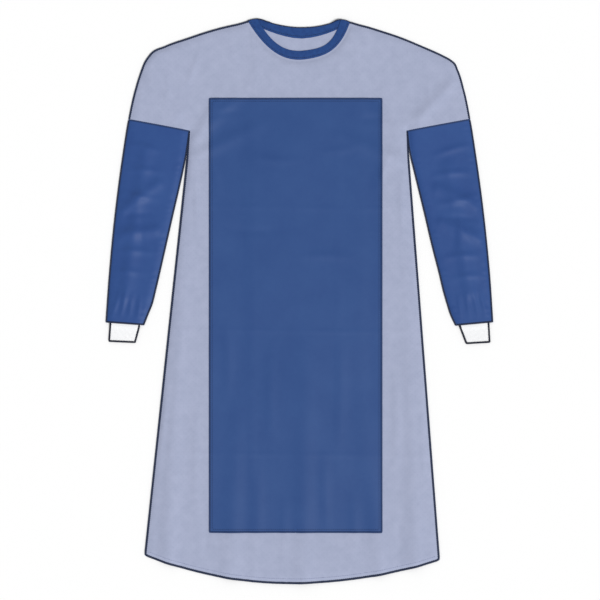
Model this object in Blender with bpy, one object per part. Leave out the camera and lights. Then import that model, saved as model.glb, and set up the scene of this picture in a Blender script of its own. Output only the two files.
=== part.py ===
"""Surgical gown laid out flat on its back, front side up.

X points to the wearer's left, Y from hem to neck and Z up from the table.
Right and left are the wearer's, so the right sleeve is at -X. Sizes are in metres.

The cloth is laid out on one grid. A column number runs across the gown:
-1 to 0 over the right upper sleeve, 0 to 1 from the right side seam to the
reinforced panel, 1 to 2 across the panel, 2 to 3 on to the left side seam and
3 to 4 over the left upper sleeve. Every layer reads its points from that grid,
so the layers lie on each other without crossing.
"""

import bmesh
import bpy
import numpy as np

# Cloth
WALL = 0.001
SEAM_GAP = 0.0003
LAYER = WALL + SEAM_GAP
LOFT = 0.003
LOFT_REACH = 0.016
FOLD_FADE = 0.035
MERGE = 0.00001

# Reinforced panel on the front
PANEL_RIGHT_X = -0.2025
PANEL_LEFT_X = 0.1863
PANEL_TOP_Y = 0.4554
PANEL_BOTTOM_Y = -0.5210

# Side seams, from the underarm down to the hem
UNDERARM_Y = 0.3815
UNDERARM_X = {"right": -0.2473, "left": 0.2431}
HEM_END = {"right": (-0.3489, -0.5738), "left": (0.3169, -0.5845)}
HEM_LOW = (-0.0200, -0.6371)

# Shoulder and overarm edge, from the sleeve's end up to beside the neck
EDGE_COLUMNS = ("y", "right_x", "left_x")
OUTER_EDGE = (
    (-0.0490, -0.4360, 0.4368),
    (0.0581, -0.4283, 0.4296),
    (0.1931, -0.4153, 0.4162),
    (0.3281, -0.3976, 0.3981),
    (0.4068, -0.3850, 0.3856),
    (0.4743, -0.3700, 0.3716),
    (0.5193, -0.3558, 0.3577),
    (0.5373, -0.3486, 0.3483),
    (0.5463, -0.3430, 0.3357),
    (0.5553, -0.3361, 0.3178),
    (0.5733, -0.3024, 0.2768),
    (0.5913, -0.2522, 0.2337),
    (0.6093, -0.1973, 0.1804),
    (0.6183, -0.1630, 0.1507),
)
CORNER_Y = 0.5463
SLEEVE_TOP_Y = {"right": 0.4072, "left": 0.4078}
SHOULDER_ABOVE_UNDERARM_X = {"right": -0.2620, "left": 0.2580}

# Underarm edge of the sleeve, from its end up to the underarm
INNER_EDGE = (
    (-0.0562, -0.3495, 0.3513),
    (-0.0320, -0.3400, 0.3399),
    (-0.0095, -0.3308, 0.3327),
    (0.0240, -0.3222, 0.3231),
    (0.0581, -0.3142, 0.3151),
    (0.1256, -0.2988, 0.2978),
    (0.1931, -0.2835, 0.2820),
    (0.2606, -0.2678, 0.2655),
    (0.2940, -0.2604, 0.2573),
    (0.3220, -0.2550, 0.2505),
    (0.3450, -0.2519, 0.2467),
    (0.3815, -0.2479, 0.2437),
)
SLEEVE_END_Y = {"right": (-0.0488, -0.0552), "left": (-0.0483, -0.0562)}

# Neckline: each curve falls from its two ends to a low point
NECK_X = 0.0016
NECK_POINT = {"right": (-0.1145, 0.6280), "left": (0.1136, 0.6255)}
HORN = {"right": (-0.0952, 0.6363), "left": (0.0936, 0.6341)}
NECK_CURVE_COLUMNS = ("ends", "low_y", "right_power", "left_power", "left_rise")
NECK_CURVES = {
    "front_seam": (NECK_POINT, 0.5411, 2.25, 1.75, 2.0),
    "front_edge": (HORN, 0.5627, 2.4, 1.7, 2.8),
    "back_seam": (NECK_POINT, 0.5915, 1.6, 1.85, 0.0),
    "back_edge": (HORN, 0.6158, 1.7, 1.95, 0.0),
}
BINDING_CROWN = 0.0006

# Knitted cuffs: corners of the stretch that shows, (outer x, outer y, inner x, inner y)
CUFF_TOP = {"right": (-0.4269, -0.0531, -0.3588, -0.0592), "left": (0.4280, -0.0520, 0.3608, -0.0596)}
CUFF_END = {"right": (-0.4297, -0.0923, -0.3682, -0.0950), "left": (0.4304, -0.0943, 0.3750, -0.0976)}
CUFF_INSIDE = 0.018
CUFF_RIBS = 18
CUFF_RIB_HEIGHT = 0.0005

# Rows down the cuff: distance below its top corners, share of a layer it is
# lifted by the sleeve's back, and share of the full rib height
CUFF_ROW_COLUMNS = ("distance", "lift", "rib")
CUFF_ROWS = (
    (-CUFF_INSIDE, 1.0, 0.0),
    (0.0005, 1.0, 0.0),
    (0.0025, 0.7, 1.0),
    (0.0090, 0.0, 1.0),
    (0.0400, 0.0, 1.0),
)

# Wrap of the two backs, as column numbers
RIGHT_BACK_END = 1.875
LEFT_BACK_END = 1.3125
STEP_COLUMNS = (1.28, 1.308)
FRONT_STEPS = (1.1875, 1.25, 1.8755, 1.9375)
NECK_COLUMNS = (1.125, 1.875)

# Grid steps
PANEL_STEPS = 16
SIDE_STEPS = 4
UPPER_SLEEVE_STEPS = 6
BODY_ROWS = 24
HEM_ROWS = 3
CHEST_ROWS = 2
YOKE_ROWS = 5
SLEEVE_ROWS = 16
SLEEVE_STEPS = 10
EDGE_ROUND = 0.0004

# Largest folds: a soft ridge from one point to the other
FOLD_COLUMNS = ("x0", "y0", "height0", "x1", "y1", "height1", "half_width")
FOLDS = (
    (-0.232, 0.372, 0.0050, -0.120, 0.478, 0.0010, 0.016),
    (-0.226, 0.330, 0.0035, -0.085, 0.395, 0.0010, 0.015),
    (0.228, 0.372, 0.0045, 0.128, 0.462, 0.0010, 0.015),
    (0.222, 0.318, 0.0040, 0.090, 0.372, 0.0010, 0.016),
    (-0.262, 0.120, 0.0010, -0.296, -0.590, 0.0060, 0.020),
    (-0.130, -0.180, 0.0005, -0.158, -0.640, 0.0055, 0.022),
    (0.018, -0.060, 0.0005, 0.008, -0.640, 0.0045, 0.022),
    (0.150, -0.230, 0.0005, 0.182, -0.640, 0.0060, 0.021),
    (0.246, 0.060, 0.0010, 0.262, -0.600, 0.0050, 0.019),
    (-0.345, 0.500, 0.0030, -0.275, 0.420, 0.0040, 0.015),
    (0.348, 0.492, 0.0030, 0.270, 0.410, 0.0045, 0.015),
    (-0.398, 0.205, 0.0045, -0.318, 0.262, 0.0030, 0.013),
    (-0.402, 0.150, 0.0045, -0.322, 0.158, 0.0035, 0.013),
    (-0.345, 0.330, 0.0030, -0.392, 0.010, 0.0040, 0.016),
    (0.396, 0.215, 0.0045, 0.314, 0.252, 0.0030, 0.013),
    (0.402, 0.142, 0.0045, 0.320, 0.176, 0.0030, 0.013),
    (0.336, 0.300, 0.0030, 0.384, 0.020, 0.0040, 0.016),
)

# Colour and roughness of each cloth
BODY_CLOTH = ("Body cloth", "#A8AFCA", 0.75)
PANEL_CLOTH = ("Reinforced panel cloth", "#395589", 0.55)
SLEEVE_CLOTH = ("Reinforced sleeve cloth", "#39558C", 0.55)
BINDING_CLOTH = ("Neck binding", "#2C4A84", 0.7)
CUFF_KNIT = ("Cuff knit", "#FAFAFB", 0.9)


def linear_colour(text):
    """Turn #RRGGBB into the linear red, green, blue and alpha that a shader reads."""
    shares = [int(text[i:i + 2], 16) / 255 for i in (1, 3, 5)]
    return [s / 12.92 if s <= 0.04045 else ((s + 0.055) / 1.055) ** 2.4 for s in shares] + [1.0]


def make_material(cloth):
    """Principled material of one cloth."""
    name, colour, roughness = cloth
    material = bpy.data.materials.get(name) or bpy.data.materials.new(name)
    material.use_nodes = True
    shader = material.node_tree.nodes["Principled BSDF"]
    shader.inputs["Base Color"].default_value = linear_colour(colour)
    shader.inputs["Roughness"].default_value = roughness
    shader.inputs["Metallic"].default_value = 0.0
    return material


def along(stations, values, at):
    """Smooth curve through rows of (station, value), read at the given stations."""
    stations = np.asarray(stations, float)
    values = np.asarray(values, float)
    slopes = np.gradient(values, stations)
    row = np.clip(np.searchsorted(stations, at) - 1, 0, len(stations) - 2)
    step = stations[row + 1] - stations[row]
    t = (at - stations[row]) / step
    start = (1 + 2 * t) * (1 - t) ** 2 * values[row] + t * (1 - t) ** 2 * step * slopes[row]
    end = t * t * (3 - 2 * t) * values[row + 1] - t * t * (1 - t) * step * slopes[row + 1]
    return start + end


def edge_x(table, side, y):
    """Where the sleeve's edge lies across the gown at height y."""
    column = EDGE_COLUMNS.index(side + "_x")
    return along([row[0] for row in table], [row[column] for row in table], y)


def neck_curve(name, columns, grow=0.0):
    """Points of one neckline curve at column numbers, grown outward for a seam gap."""
    curve = dict(zip(NECK_CURVE_COLUMNS, NECK_CURVES[name]))
    ends = curve["ends"]
    middle = sum(NECK_COLUMNS) / 2
    reach = NECK_COLUMNS[1] - middle
    share = np.sin(np.clip((columns - middle) / reach, -1, 1) * np.pi / 2)
    end_x = np.where(share < 0, NECK_X - ends["right"][0], ends["left"][0] - NECK_X) + grow
    end_y = np.where(share < 0, ends["right"][1], ends["left"][1])
    left_power = curve["left_power"] + curve["left_rise"] * np.abs(share)
    power = np.where(share < 0, curve["right_power"], left_power)
    low_y = curve["low_y"] - grow
    y = low_y + (end_y - low_y) * np.abs(share) ** power
    return np.stack([NECK_X + share * end_x, y], axis=-1)


def shoulder_y(side, x):
    """Height of the shoulder edge at x, from the neck point out to the corner."""
    column = EDGE_COLUMNS.index(side + "_x")
    rows = [(abs(row[column]), row[0]) for row in OUTER_EDGE if row[0] >= CORNER_Y]
    rows.append((abs(NECK_POINT[side][0]) + SEAM_GAP, NECK_POINT[side][1]))
    rows.sort()
    return along([row[0] for row in rows], [row[1] for row in rows], np.abs(x))


def top_edge(columns, neck):
    """Points along the top of the gown: corner, shoulder, neckline, shoulder, corner."""
    corner_x = {side: edge_x(OUTER_EDGE, side, CORNER_Y) for side in ("right", "left")}
    neck_x = {"right": NECK_POINT["right"][0] - SEAM_GAP, "left": NECK_POINT["left"][0] + SEAM_GAP}
    right_x = np.interp(
        columns, (-1, 0, 1, NECK_COLUMNS[0]),
        (corner_x["right"], SHOULDER_ABOVE_UNDERARM_X["right"], PANEL_RIGHT_X, neck_x["right"]))
    left_x = np.interp(
        columns, (NECK_COLUMNS[1], 2, 3, 4),
        (neck_x["left"], PANEL_LEFT_X, SHOULDER_ABOVE_UNDERARM_X["left"], corner_x["left"]))
    right = np.stack([right_x, shoulder_y("right", right_x)], axis=-1)
    left = np.stack([left_x, shoulder_y("left", left_x)], axis=-1)
    points = neck_curve(neck, columns, grow=SEAM_GAP)
    points = np.where((columns <= NECK_COLUMNS[0])[:, None], right, points)
    return np.where((columns >= NECK_COLUMNS[1])[:, None], left, points)


def seam_x(side, y):
    """Where the side seam lies across the gown at height y."""
    share = (UNDERARM_Y - y) / (UNDERARM_Y - HEM_END[side][1])
    return UNDERARM_X[side] + share * (HEM_END[side][0] - UNDERARM_X[side])


def hem_y(x):
    """Height of the dipping hem, a parabola on each side of its low point."""
    end_x = np.where(x < HEM_LOW[0], HEM_END["right"][0], HEM_END["left"][0])
    end_y = np.where(x < HEM_LOW[0], HEM_END["right"][1], HEM_END["left"][1])
    return HEM_LOW[1] + (end_y - HEM_LOW[1]) * ((x - HEM_LOW[0]) / (end_x - HEM_LOW[0])) ** 2


def body_row(columns, y, hem_share=0.0):
    """One row of the body below the underarm: level down to the panel's bottom, then to the hem."""
    edge_y = {side: y + hem_share * (HEM_END[side][1] - y) for side in ("right", "left")}
    x = np.interp(
        columns, (0, 1, 2, 3),
        (seam_x("right", edge_y["right"]), PANEL_RIGHT_X, PANEL_LEFT_X, seam_x("left", edge_y["left"])))
    return np.stack([x, y + hem_share * (hem_y(x) - y)], axis=-1)


def body_patch(columns, level_rows, hem_rows):
    """Plan of the body from the underarm row down to the hem."""
    rows = [body_row(columns, y) for y in np.linspace(UNDERARM_Y, PANEL_BOTTOM_Y, level_rows + 1)]
    rows += [body_row(columns, PANEL_BOTTOM_Y, share) for share in np.linspace(0, 1, hem_rows + 1)[1:]]
    return np.array(rows)


def yoke_patch(columns, chest_rows, yoke_rows, neck):
    """Plan of the chest, shoulders and upper sleeves, from the underarm row up."""
    bottom = body_row(columns, UNDERARM_Y)
    for side, share in (("right", -columns), ("left", columns - 3)):
        underarm = np.array((UNDERARM_X[side], UNDERARM_Y))
        sleeve_top = np.array((edge_x(OUTER_EDGE, side, SLEEVE_TOP_Y[side]), SLEEVE_TOP_Y[side]))
        upper_sleeve = underarm + np.clip(share, 0, 1)[:, None] * (sleeve_top - underarm)
        bottom = np.where((share > 0)[:, None], upper_sleeve, bottom)
    top = top_edge(columns, neck)
    chest_share = (PANEL_TOP_Y - UNDERARM_Y) / (shoulder_y("right", PANEL_RIGHT_X) - UNDERARM_Y)
    middle = bottom + chest_share * (top - bottom)
    on_panel = (columns >= 1) & (columns <= 2)
    middle[on_panel, 0] = bottom[on_panel, 0]
    middle[on_panel, 1] = PANEL_TOP_Y
    rows = []
    for i in range(chest_rows + yoke_rows + 1):
        if i <= chest_rows:
            row = bottom + (middle - bottom) * i / chest_rows
            share = chest_share * i / chest_rows
        else:
            row = middle + (top - middle) * (i - chest_rows) / yoke_rows
            share = chest_share + (1 - chest_share) * (i - chest_rows) / yoke_rows
        rows.append(row + overarm_bow(columns, share))
    return np.array(rows)


def overarm_bow(columns, share):
    """How far the overarm edge bows from a straight line, fading to the underarm column."""
    bow = np.zeros((len(columns), 2))
    for side, weight in (("right", np.clip(-columns, 0, 1)), ("left", np.clip(columns - 3, 0, 1))):
        start_y = SLEEVE_TOP_Y[side]
        y = start_y + share * (CORNER_Y - start_y)
        start_x = edge_x(OUTER_EDGE, side, start_y)
        corner_x = edge_x(OUTER_EDGE, side, CORNER_Y)
        straight_x = start_x + share * (corner_x - start_x)
        bow[:, 0] += weight * (edge_x(OUTER_EDGE, side, y) - straight_x)
    return bow


def sleeve_edges(side, shares, start_gap):
    """Outer and inner edge points of a sleeve, from its top seam to its end."""
    start = {"outer": SLEEVE_TOP_Y[side] - start_gap, "inner": UNDERARM_Y - start_gap}
    end = dict(zip(("outer", "inner"), SLEEVE_END_Y[side]))
    tables = {"outer": OUTER_EDGE, "inner": INNER_EDGE}
    edges = {}
    for edge, table in tables.items():
        y = start[edge] + shares * (end[edge] - start[edge])
        edges[edge] = np.stack([edge_x(table, side, y), y], axis=-1)
    return edges["outer"], edges["inner"]


def outline_segments():
    """Edges that the cloth is held down to: (start, end) points of short straight pieces."""
    paths = []
    for side in ("right", "left"):
        seam_ys = np.array([UNDERARM_Y, HEM_END[side][1]])
        paths.append(np.stack([seam_x(side, seam_ys), seam_ys], axis=-1))
        outer, inner = sleeve_edges(side, np.linspace(0, 1, 24), 0.0)
        paths += [outer, inner]
        overarm_ys = np.linspace(SLEEVE_TOP_Y[side], CORNER_Y, 16)
        paths.append(np.stack([edge_x(OUTER_EDGE, side, overarm_ys), overarm_ys], axis=-1))
    paths.append(top_edge(np.linspace(-1, 4, 120), "front_seam"))
    starts = np.concatenate([path[:-1] for path in paths])
    ends = np.concatenate([path[1:] for path in paths])
    return starts, ends


def distance_to(points, starts, ends):
    """Distance from each point to the nearest of many straight pieces, and the share along it."""
    run = ends - starts
    offset = points[..., None, :] - starts
    length = np.maximum((run ** 2).sum(-1), 1e-12)
    share = np.clip((offset * run).sum(-1) / length, 0, 1)
    gap = offset - share[..., None] * run
    return np.sqrt((gap ** 2).sum(-1)), share


EDGE_STARTS, EDGE_ENDS = outline_segments()


def front_height(points, layers):
    """Underside of the upper cloth: its layers, a loft that falls to the edges, and the folds."""
    edge = distance_to(points, EDGE_STARTS, EDGE_ENDS)[0].min(-1)
    hem = np.clip(points[..., 1] - hem_y(points[..., 0]), 0, None)
    near = np.clip(np.minimum(edge, hem) / LOFT_REACH, 0, 1)
    loft = LOFT * np.sqrt(1 - (1 - near) ** 2)
    fold = dict(zip(FOLD_COLUMNS, np.array(FOLDS).T))
    starts = np.stack([fold["x0"], fold["y0"]], axis=-1)
    ends = np.stack([fold["x1"], fold["y1"]], axis=-1)
    distance, share = distance_to(points, starts, ends)
    height = fold["height0"] + share * (fold["height1"] - fold["height0"])
    ridge = (height * np.exp(-(distance / fold["half_width"]) ** 2)).sum(-1)
    fade = np.clip(edge / FOLD_FADE, 0, 1)
    return LAYER * layers + loft + ridge * fade * fade * (3 - 2 * fade)


def front_layers(columns):
    """Layers of cloth under the front: two where the backs overlap, one elsewhere."""
    return 1 + np.interp(columns, FRONT_STEPS, (0, 1, 1, 0))


def right_back_layers(columns):
    """Layers of cloth under the right back: none on the table, one on the left back."""
    return np.interp(columns, STEP_COLUMNS, (0, 1))


def new_object(name, mesh, cloth, collection):
    """Put a finished bmesh in the scene as one named object."""
    bmesh.ops.recalc_face_normals(mesh, faces=mesh.faces)
    data = bpy.data.meshes.new(name)
    mesh.to_mesh(data)
    mesh.free()
    data.materials.append(make_material(cloth))
    part = bpy.data.objects.new(name, data)
    collection.objects.link(part)
    return part


def make_cloth(name, patches, cloth, collection):
    """Sheet from patches of underside points, thickened straight up.

    A patch is an array of rows and columns of (x, y, z, thickness). Patches
    that share an edge are joined along it.
    """
    mesh = bmesh.new()
    thickness = mesh.verts.layers.float.new("thickness")
    for patch in patches:
        grid = []
        for row in patch:
            grid.append([mesh.verts.new(point[:3]) for point in row])
            for vertex, point in zip(grid[-1], row):
                vertex[thickness] = point[3]
        for low, high in zip(grid[:-1], grid[1:]):
            for i in range(len(low) - 1):
                mesh.faces.new((low[i], low[i + 1], high[i + 1]))
                mesh.faces.new((low[i], high[i + 1], high[i]))
    bmesh.ops.remove_doubles(mesh, verts=mesh.verts, dist=MERGE)
    lifted = bmesh.ops.extrude_face_region(mesh, geom=mesh.faces[:])
    for vertex in lifted["geom"]:
        if isinstance(vertex, bmesh.types.BMVert):
            vertex.co.z += vertex[thickness]
    return new_object(name, mesh, cloth, collection)


def make_tube(name, outer, inner, cloth, collection):
    """Open-ended tube between an outer and an inner surface, each a stack of closed rings."""
    mesh = bmesh.new()
    walls = [[[mesh.verts.new(point) for point in ring] for ring in rings] for rings in (outer, inner)]
    for rings in walls:
        for ring, following in zip(rings[:-1], rings[1:]):
            for i in range(len(ring)):
                j = (i + 1) % len(ring)
                mesh.faces.new((ring[i], ring[j], following[j]))
                mesh.faces.new((ring[i], following[j], following[i]))
    for end in (0, -1):
        for i in range(len(walls[0][end])):
            j = (i + 1) % len(walls[0][end])
            mesh.faces.new((walls[0][end][i], walls[0][end][j], walls[1][end][j], walls[1][end][i]))
    return new_object(name, mesh, cloth, collection)


def with_height(plan, z, thickness=WALL):
    """Join a plan patch with its underside height and its thickness."""
    z = np.broadcast_to(z, plan.shape[:2])
    thickness = np.broadcast_to(thickness, plan.shape[:2])
    return np.dstack([plan, z, thickness])


def grid_columns(first, last, extra=()):
    """Column numbers of the grid between two columns, with extra ones where a layer steps."""
    steps = (
        np.linspace(-1, 0, UPPER_SLEEVE_STEPS + 1), np.linspace(0, 1, SIDE_STEPS + 1),
        np.linspace(1, 2, PANEL_STEPS + 1), np.linspace(2, 3, SIDE_STEPS + 1),
        np.linspace(3, 4, UPPER_SLEEVE_STEPS + 1), np.array(extra))
    columns = np.unique(np.round(np.concatenate(steps), 6))
    return columns[(columns >= first) & (columns <= last)]


def flat_ring(outer, inner, shares, top, mid, bottom, inset):
    """Ring round a flattened tube: across the top, round one folded edge, back below, round the other."""
    run = inner - outer
    inset_share = inset / np.linalg.norm(run)
    across = np.clip(shares, inset_share, 1 - inset_share)
    points = [(*(outer + share * run), z) for share, z in zip(across, top)]
    edge_share = inset_share - EDGE_ROUND / np.linalg.norm(run)
    points.append((*(outer + (1 - edge_share) * run), mid))
    points += [(*(outer + share * run), bottom) for share in (1 - inset_share, inset_share)]
    points.append((*(outer + edge_share * run), mid))
    return points


def make_front(collection):
    """Whole front with the upper sleeves cut on."""
    columns = grid_columns(-1, 4)
    body_columns = grid_columns(0, 3)
    plans = (
        (body_patch(body_columns, BODY_ROWS, HEM_ROWS), body_columns),
        (yoke_patch(columns, CHEST_ROWS, YOKE_ROWS, "front_seam"), columns))
    patches = [with_height(plan, front_height(plan, front_layers(own))) for plan, own in plans]
    return make_cloth("front_body", patches, BODY_CLOTH, collection)


def make_panel(collection):
    """Reinforced panel, read from the front's own points and moved up."""
    columns = grid_columns(1, 2)
    body = body_patch(columns, BODY_ROWS, HEM_ROWS)[:BODY_ROWS + 1]
    chest = yoke_patch(columns, CHEST_ROWS, YOKE_ROWS, "front_seam")[:CHEST_ROWS + 1]
    patches = [
        with_height(plan, front_height(plan, front_layers(columns)) + LAYER) for plan in (body, chest)]
    return make_cloth("front_reinforcement", patches, PANEL_CLOTH, collection)


def make_back(name, first, last, step, collection):
    """One back with its upper sleeve; the right one steps up onto the left one."""
    extra = STEP_COLUMNS if step else ()
    columns = grid_columns(first, last, extra)
    body_columns = columns[(columns >= 0) & (columns <= 3)]
    patches = []
    for plan, own in (
            (body_patch(body_columns, 1, 1), body_columns),
            (yoke_patch(columns, CHEST_ROWS, YOKE_ROWS, "back_seam"), columns)):
        z = LAYER * right_back_layers(own) if step else 0.0
        patches.append(with_height(plan, z))
    return make_cloth(name, patches, BODY_CLOTH, collection)


def make_binding(name, curves, columns, layers, crown, collection):
    """Stretch of neck binding between its seam and its free edge, on the columns of its cloth."""
    seam, edge = (neck_curve(curve, columns) for curve in curves)
    shares = (0.0, 0.5, 1.0)
    plan = np.array([seam + share * (edge - seam) for share in shares])
    thickness = np.array([WALL + crown * 4 * share * (1 - share) for share in shares])[:, None]
    patch = with_height(plan, LAYER * layers, thickness)
    return make_cloth(name, [patch], BINDING_CLOTH, collection)


def make_sleeve(side, collection):
    """Reinforced sleeve, a flattened tube with folded edges."""
    shares = np.linspace(0, 1, SLEEVE_STEPS + 1)
    outer_edge, inner_edge = sleeve_edges(side, np.linspace(0, 1, SLEEVE_ROWS + 1), SEAM_GAP)
    rings = {"outside": [], "inside": []}
    for outer, inner in zip(outer_edge, inner_edge):
        points = outer + shares[:, None] * (inner - outer)
        under = front_height(points, 1.0)
        rings["outside"].append(
            flat_ring(outer, inner, shares, under + WALL, LAYER - SEAM_GAP / 2, 0.0, EDGE_ROUND))
        rings["inside"].append(
            flat_ring(outer, inner, shares, under, LAYER - SEAM_GAP / 2, WALL, WALL + EDGE_ROUND))
    return make_tube("sleeve_" + side, rings["outside"], rings["inside"], SLEEVE_CLOTH, collection)


def make_cuff(side, collection):
    """Knitted cuff with its ribs raised outside over a plain inside, set into the sleeve's end."""
    shares = np.linspace(0, 1, 2 * CUFF_RIBS + 1)
    ribs = np.arange(len(shares)) % 2
    top = np.array(CUFF_TOP[side]).reshape(2, 2)
    end = np.array(CUFF_END[side]).reshape(2, 2)
    rings = {"outside": [], "inside": []}
    for values in CUFF_ROWS:
        row = dict(zip(CUFF_ROW_COLUMNS, values))
        outer, inner = top + row["distance"] / CUFF_ROWS[-1][0] * (end - top)
        lift = row["lift"] * LAYER
        inside_top = np.full(len(shares), lift + LAYER)
        outside_top = inside_top + WALL + row["rib"] * CUFF_RIB_HEIGHT * ribs
        mid = lift + LAYER - SEAM_GAP / 2
        rings["outside"].append(flat_ring(outer, inner, shares, outside_top, mid, lift, EDGE_ROUND))
        rings["inside"].append(
            flat_ring(outer, inner, shares, inside_top, mid, lift + WALL, WALL + EDGE_ROUND))
    return make_tube("cuff_" + side, rings["outside"], rings["inside"], CUFF_KNIT, collection)


def build():
    """Build every piece into one collection."""
    for old in list(bpy.data.objects):
        bpy.data.objects.remove(old, do_unlink=True)
    collection = bpy.data.collections.new("Surgical gown")
    bpy.context.scene.collection.children.link(collection)
    make_front(collection)
    make_panel(collection)
    make_back("back_right", -1, RIGHT_BACK_END, True, collection)
    make_back("back_left", LEFT_BACK_END, 4, False, collection)
    for side in ("right", "left"):
        make_sleeve(side, collection)
        make_cuff(side, collection)
    front_curves = ("front_seam", "front_edge")
    back_curves = ("back_seam", "back_edge")
    front = grid_columns(*NECK_COLUMNS)
    right = grid_columns(*NECK_COLUMNS, STEP_COLUMNS)
    left = grid_columns(LEFT_BACK_END, NECK_COLUMNS[1])
    make_binding("neck_binding_front", front_curves, front, front_layers(front), BINDING_CROWN, collection)
    make_binding("neck_binding_back_right", back_curves, right, right_back_layers(right), 0.0, collection)
    make_binding("neck_binding_back_left", back_curves, left, np.zeros(len(left)), 0.0, collection)


build()
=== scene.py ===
# Surgical gown laid out flat on its back: cloth, knit, bindings and sewing
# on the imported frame. Metres; +X is the wearer's left, +Y runs from hem to neck.
import math

import bmesh
import bpy
import numpy as np
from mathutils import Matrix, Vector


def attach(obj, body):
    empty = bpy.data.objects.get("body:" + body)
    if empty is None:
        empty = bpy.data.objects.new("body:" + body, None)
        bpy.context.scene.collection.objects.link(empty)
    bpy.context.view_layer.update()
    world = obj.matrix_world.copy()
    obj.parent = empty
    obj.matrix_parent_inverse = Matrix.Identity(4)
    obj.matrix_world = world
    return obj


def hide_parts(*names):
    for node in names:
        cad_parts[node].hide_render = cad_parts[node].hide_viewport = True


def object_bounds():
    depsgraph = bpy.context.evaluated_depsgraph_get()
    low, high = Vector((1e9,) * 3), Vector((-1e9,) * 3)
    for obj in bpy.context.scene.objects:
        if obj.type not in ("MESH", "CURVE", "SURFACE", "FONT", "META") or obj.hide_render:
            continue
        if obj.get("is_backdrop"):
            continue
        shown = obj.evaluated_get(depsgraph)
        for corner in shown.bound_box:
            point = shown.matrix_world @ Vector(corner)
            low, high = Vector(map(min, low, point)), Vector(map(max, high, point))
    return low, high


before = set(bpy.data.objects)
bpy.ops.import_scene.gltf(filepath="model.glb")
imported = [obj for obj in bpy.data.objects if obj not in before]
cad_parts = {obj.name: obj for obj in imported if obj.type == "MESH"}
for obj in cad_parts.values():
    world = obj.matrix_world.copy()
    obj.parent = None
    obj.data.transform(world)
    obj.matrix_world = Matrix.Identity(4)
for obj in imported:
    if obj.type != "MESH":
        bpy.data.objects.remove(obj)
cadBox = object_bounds()

print("layout: the gown's plan")
# The plan that the solids are cut to. A pair is (right, left), but panelY is (low, high),
# hemLow is (x, y), and sleeveEndY has (outer, inner) for each side. hemEnds, neckPoints and
# horns have (x, y) for each side. Places across the gown are column numbers: -1 to 0 is the
# right upper sleeve, 0 to 1 the body beside the panel, 1 to 2 the panel, 2 to 3 the body on
# its other side and 3 to 4 the left upper sleeve. neckColumns, the backs' ends and the
# steps, where a piece climbs onto another one's edge, are in these numbers.
plan = {
    "wall": 0.001,
    "layer": 0.0013,
    "gap": 0.0003,
    "loft": 0.003,
    "loftReach": 0.016,
    "sewnBand": 0.0045,
    "foldFade": 0.035,
    "panelX": (-0.2025, 0.1863),
    "panelY": (-0.5210, 0.4554),
    "underarmY": 0.3815,
    "underarmX": (-0.2473, 0.2431),
    "hemEnds": ((-0.3489, -0.5738), (0.3169, -0.5845)),
    "hemLow": (-0.0200, -0.6371),
    "cornerY": 0.5463,
    "sleeveTopY": (0.4072, 0.4078),
    "shoulderX": (-0.2620, 0.2580),
    "sleeveEndY": ((-0.0488, -0.0552), (-0.0483, -0.0562)),
    "neckX": 0.0016,
    "neckPoints": ((-0.1145, 0.6280), (0.1136, 0.6255)),
    "horns": ((-0.0952, 0.6363), (0.0936, 0.6341)),
    "neckColumns": (1.125, 1.875),
    "rightBackEnd": 1.875,
    "leftBackEnd": 1.3125,
    "backStep": (1.28, 1.308),
    "frontSteps": (1.1875, 1.25, 1.8755, 1.9375),
}
# Edges of the sleeves, the outer one on over the shoulders: rows of (y, right x, left x)
outerEdge = (
    (-0.0490, -0.4360, 0.4368),
    (0.0581, -0.4283, 0.4296),
    (0.1931, -0.4153, 0.4162),
    (0.3281, -0.3976, 0.3981),
    (0.4068, -0.3850, 0.3856),
    (0.4743, -0.3700, 0.3716),
    (0.5193, -0.3558, 0.3577),
    (0.5373, -0.3486, 0.3483),
    (0.5463, -0.3430, 0.3357),
    (0.5553, -0.3361, 0.3178),
    (0.5733, -0.3024, 0.2768),
    (0.5913, -0.2522, 0.2337),
    (0.6093, -0.1973, 0.1804),
    (0.6183, -0.1630, 0.1507),
)
innerEdge = (
    (-0.0562, -0.3495, 0.3513),
    (-0.0320, -0.3400, 0.3399),
    (-0.0095, -0.3308, 0.3327),
    (0.0240, -0.3222, 0.3231),
    (0.0581, -0.3142, 0.3151),
    (0.1256, -0.2988, 0.2978),
    (0.1931, -0.2835, 0.2820),
    (0.2606, -0.2678, 0.2655),
    (0.2940, -0.2604, 0.2573),
    (0.3220, -0.2550, 0.2505),
    (0.3450, -0.2519, 0.2467),
    (0.3815, -0.2479, 0.2437),
)
# Neckline curves: their two ends, low point, right and left powers, and the left power's
# rise towards the end
neckCurves = {
    "frontSeam": ("neckPoints", 0.5424, 2.25, 1.75, 2.0),
    "frontEdge": ("horns", 0.5623, 2.4, 1.7, 2.8),
    "backSeam": ("neckPoints", 0.5904, 1.6, 1.85, 0.0),
    "backEdge": ("horns", 0.6158, 1.75, 2.25, 0.0),
}
# Rounded tops of the two horns, where the neck tape turns over the shoulders: (x, y) rows
# along the middle of their edging, from the right neck point inward and to the left one
hornRows = (
    ((-0.1175, 0.6292), (-0.1135, 0.6312), (-0.1074, 0.6327), (-0.1007, 0.6341), (-0.0939, 0.6346),
     (-0.0872, 0.6334), (-0.0804, 0.6316), (-0.0737, 0.6288), (-0.0669, 0.6269)),
    ((0.0771, 0.6276), (0.0838, 0.6313), (0.0906, 0.6329), (0.0973, 0.6321),
     (0.1041, 0.6309), (0.1108, 0.6284), (0.1150, 0.6268)),
)
right, left = 0, 1
sideNames = ("right", "left")


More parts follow.
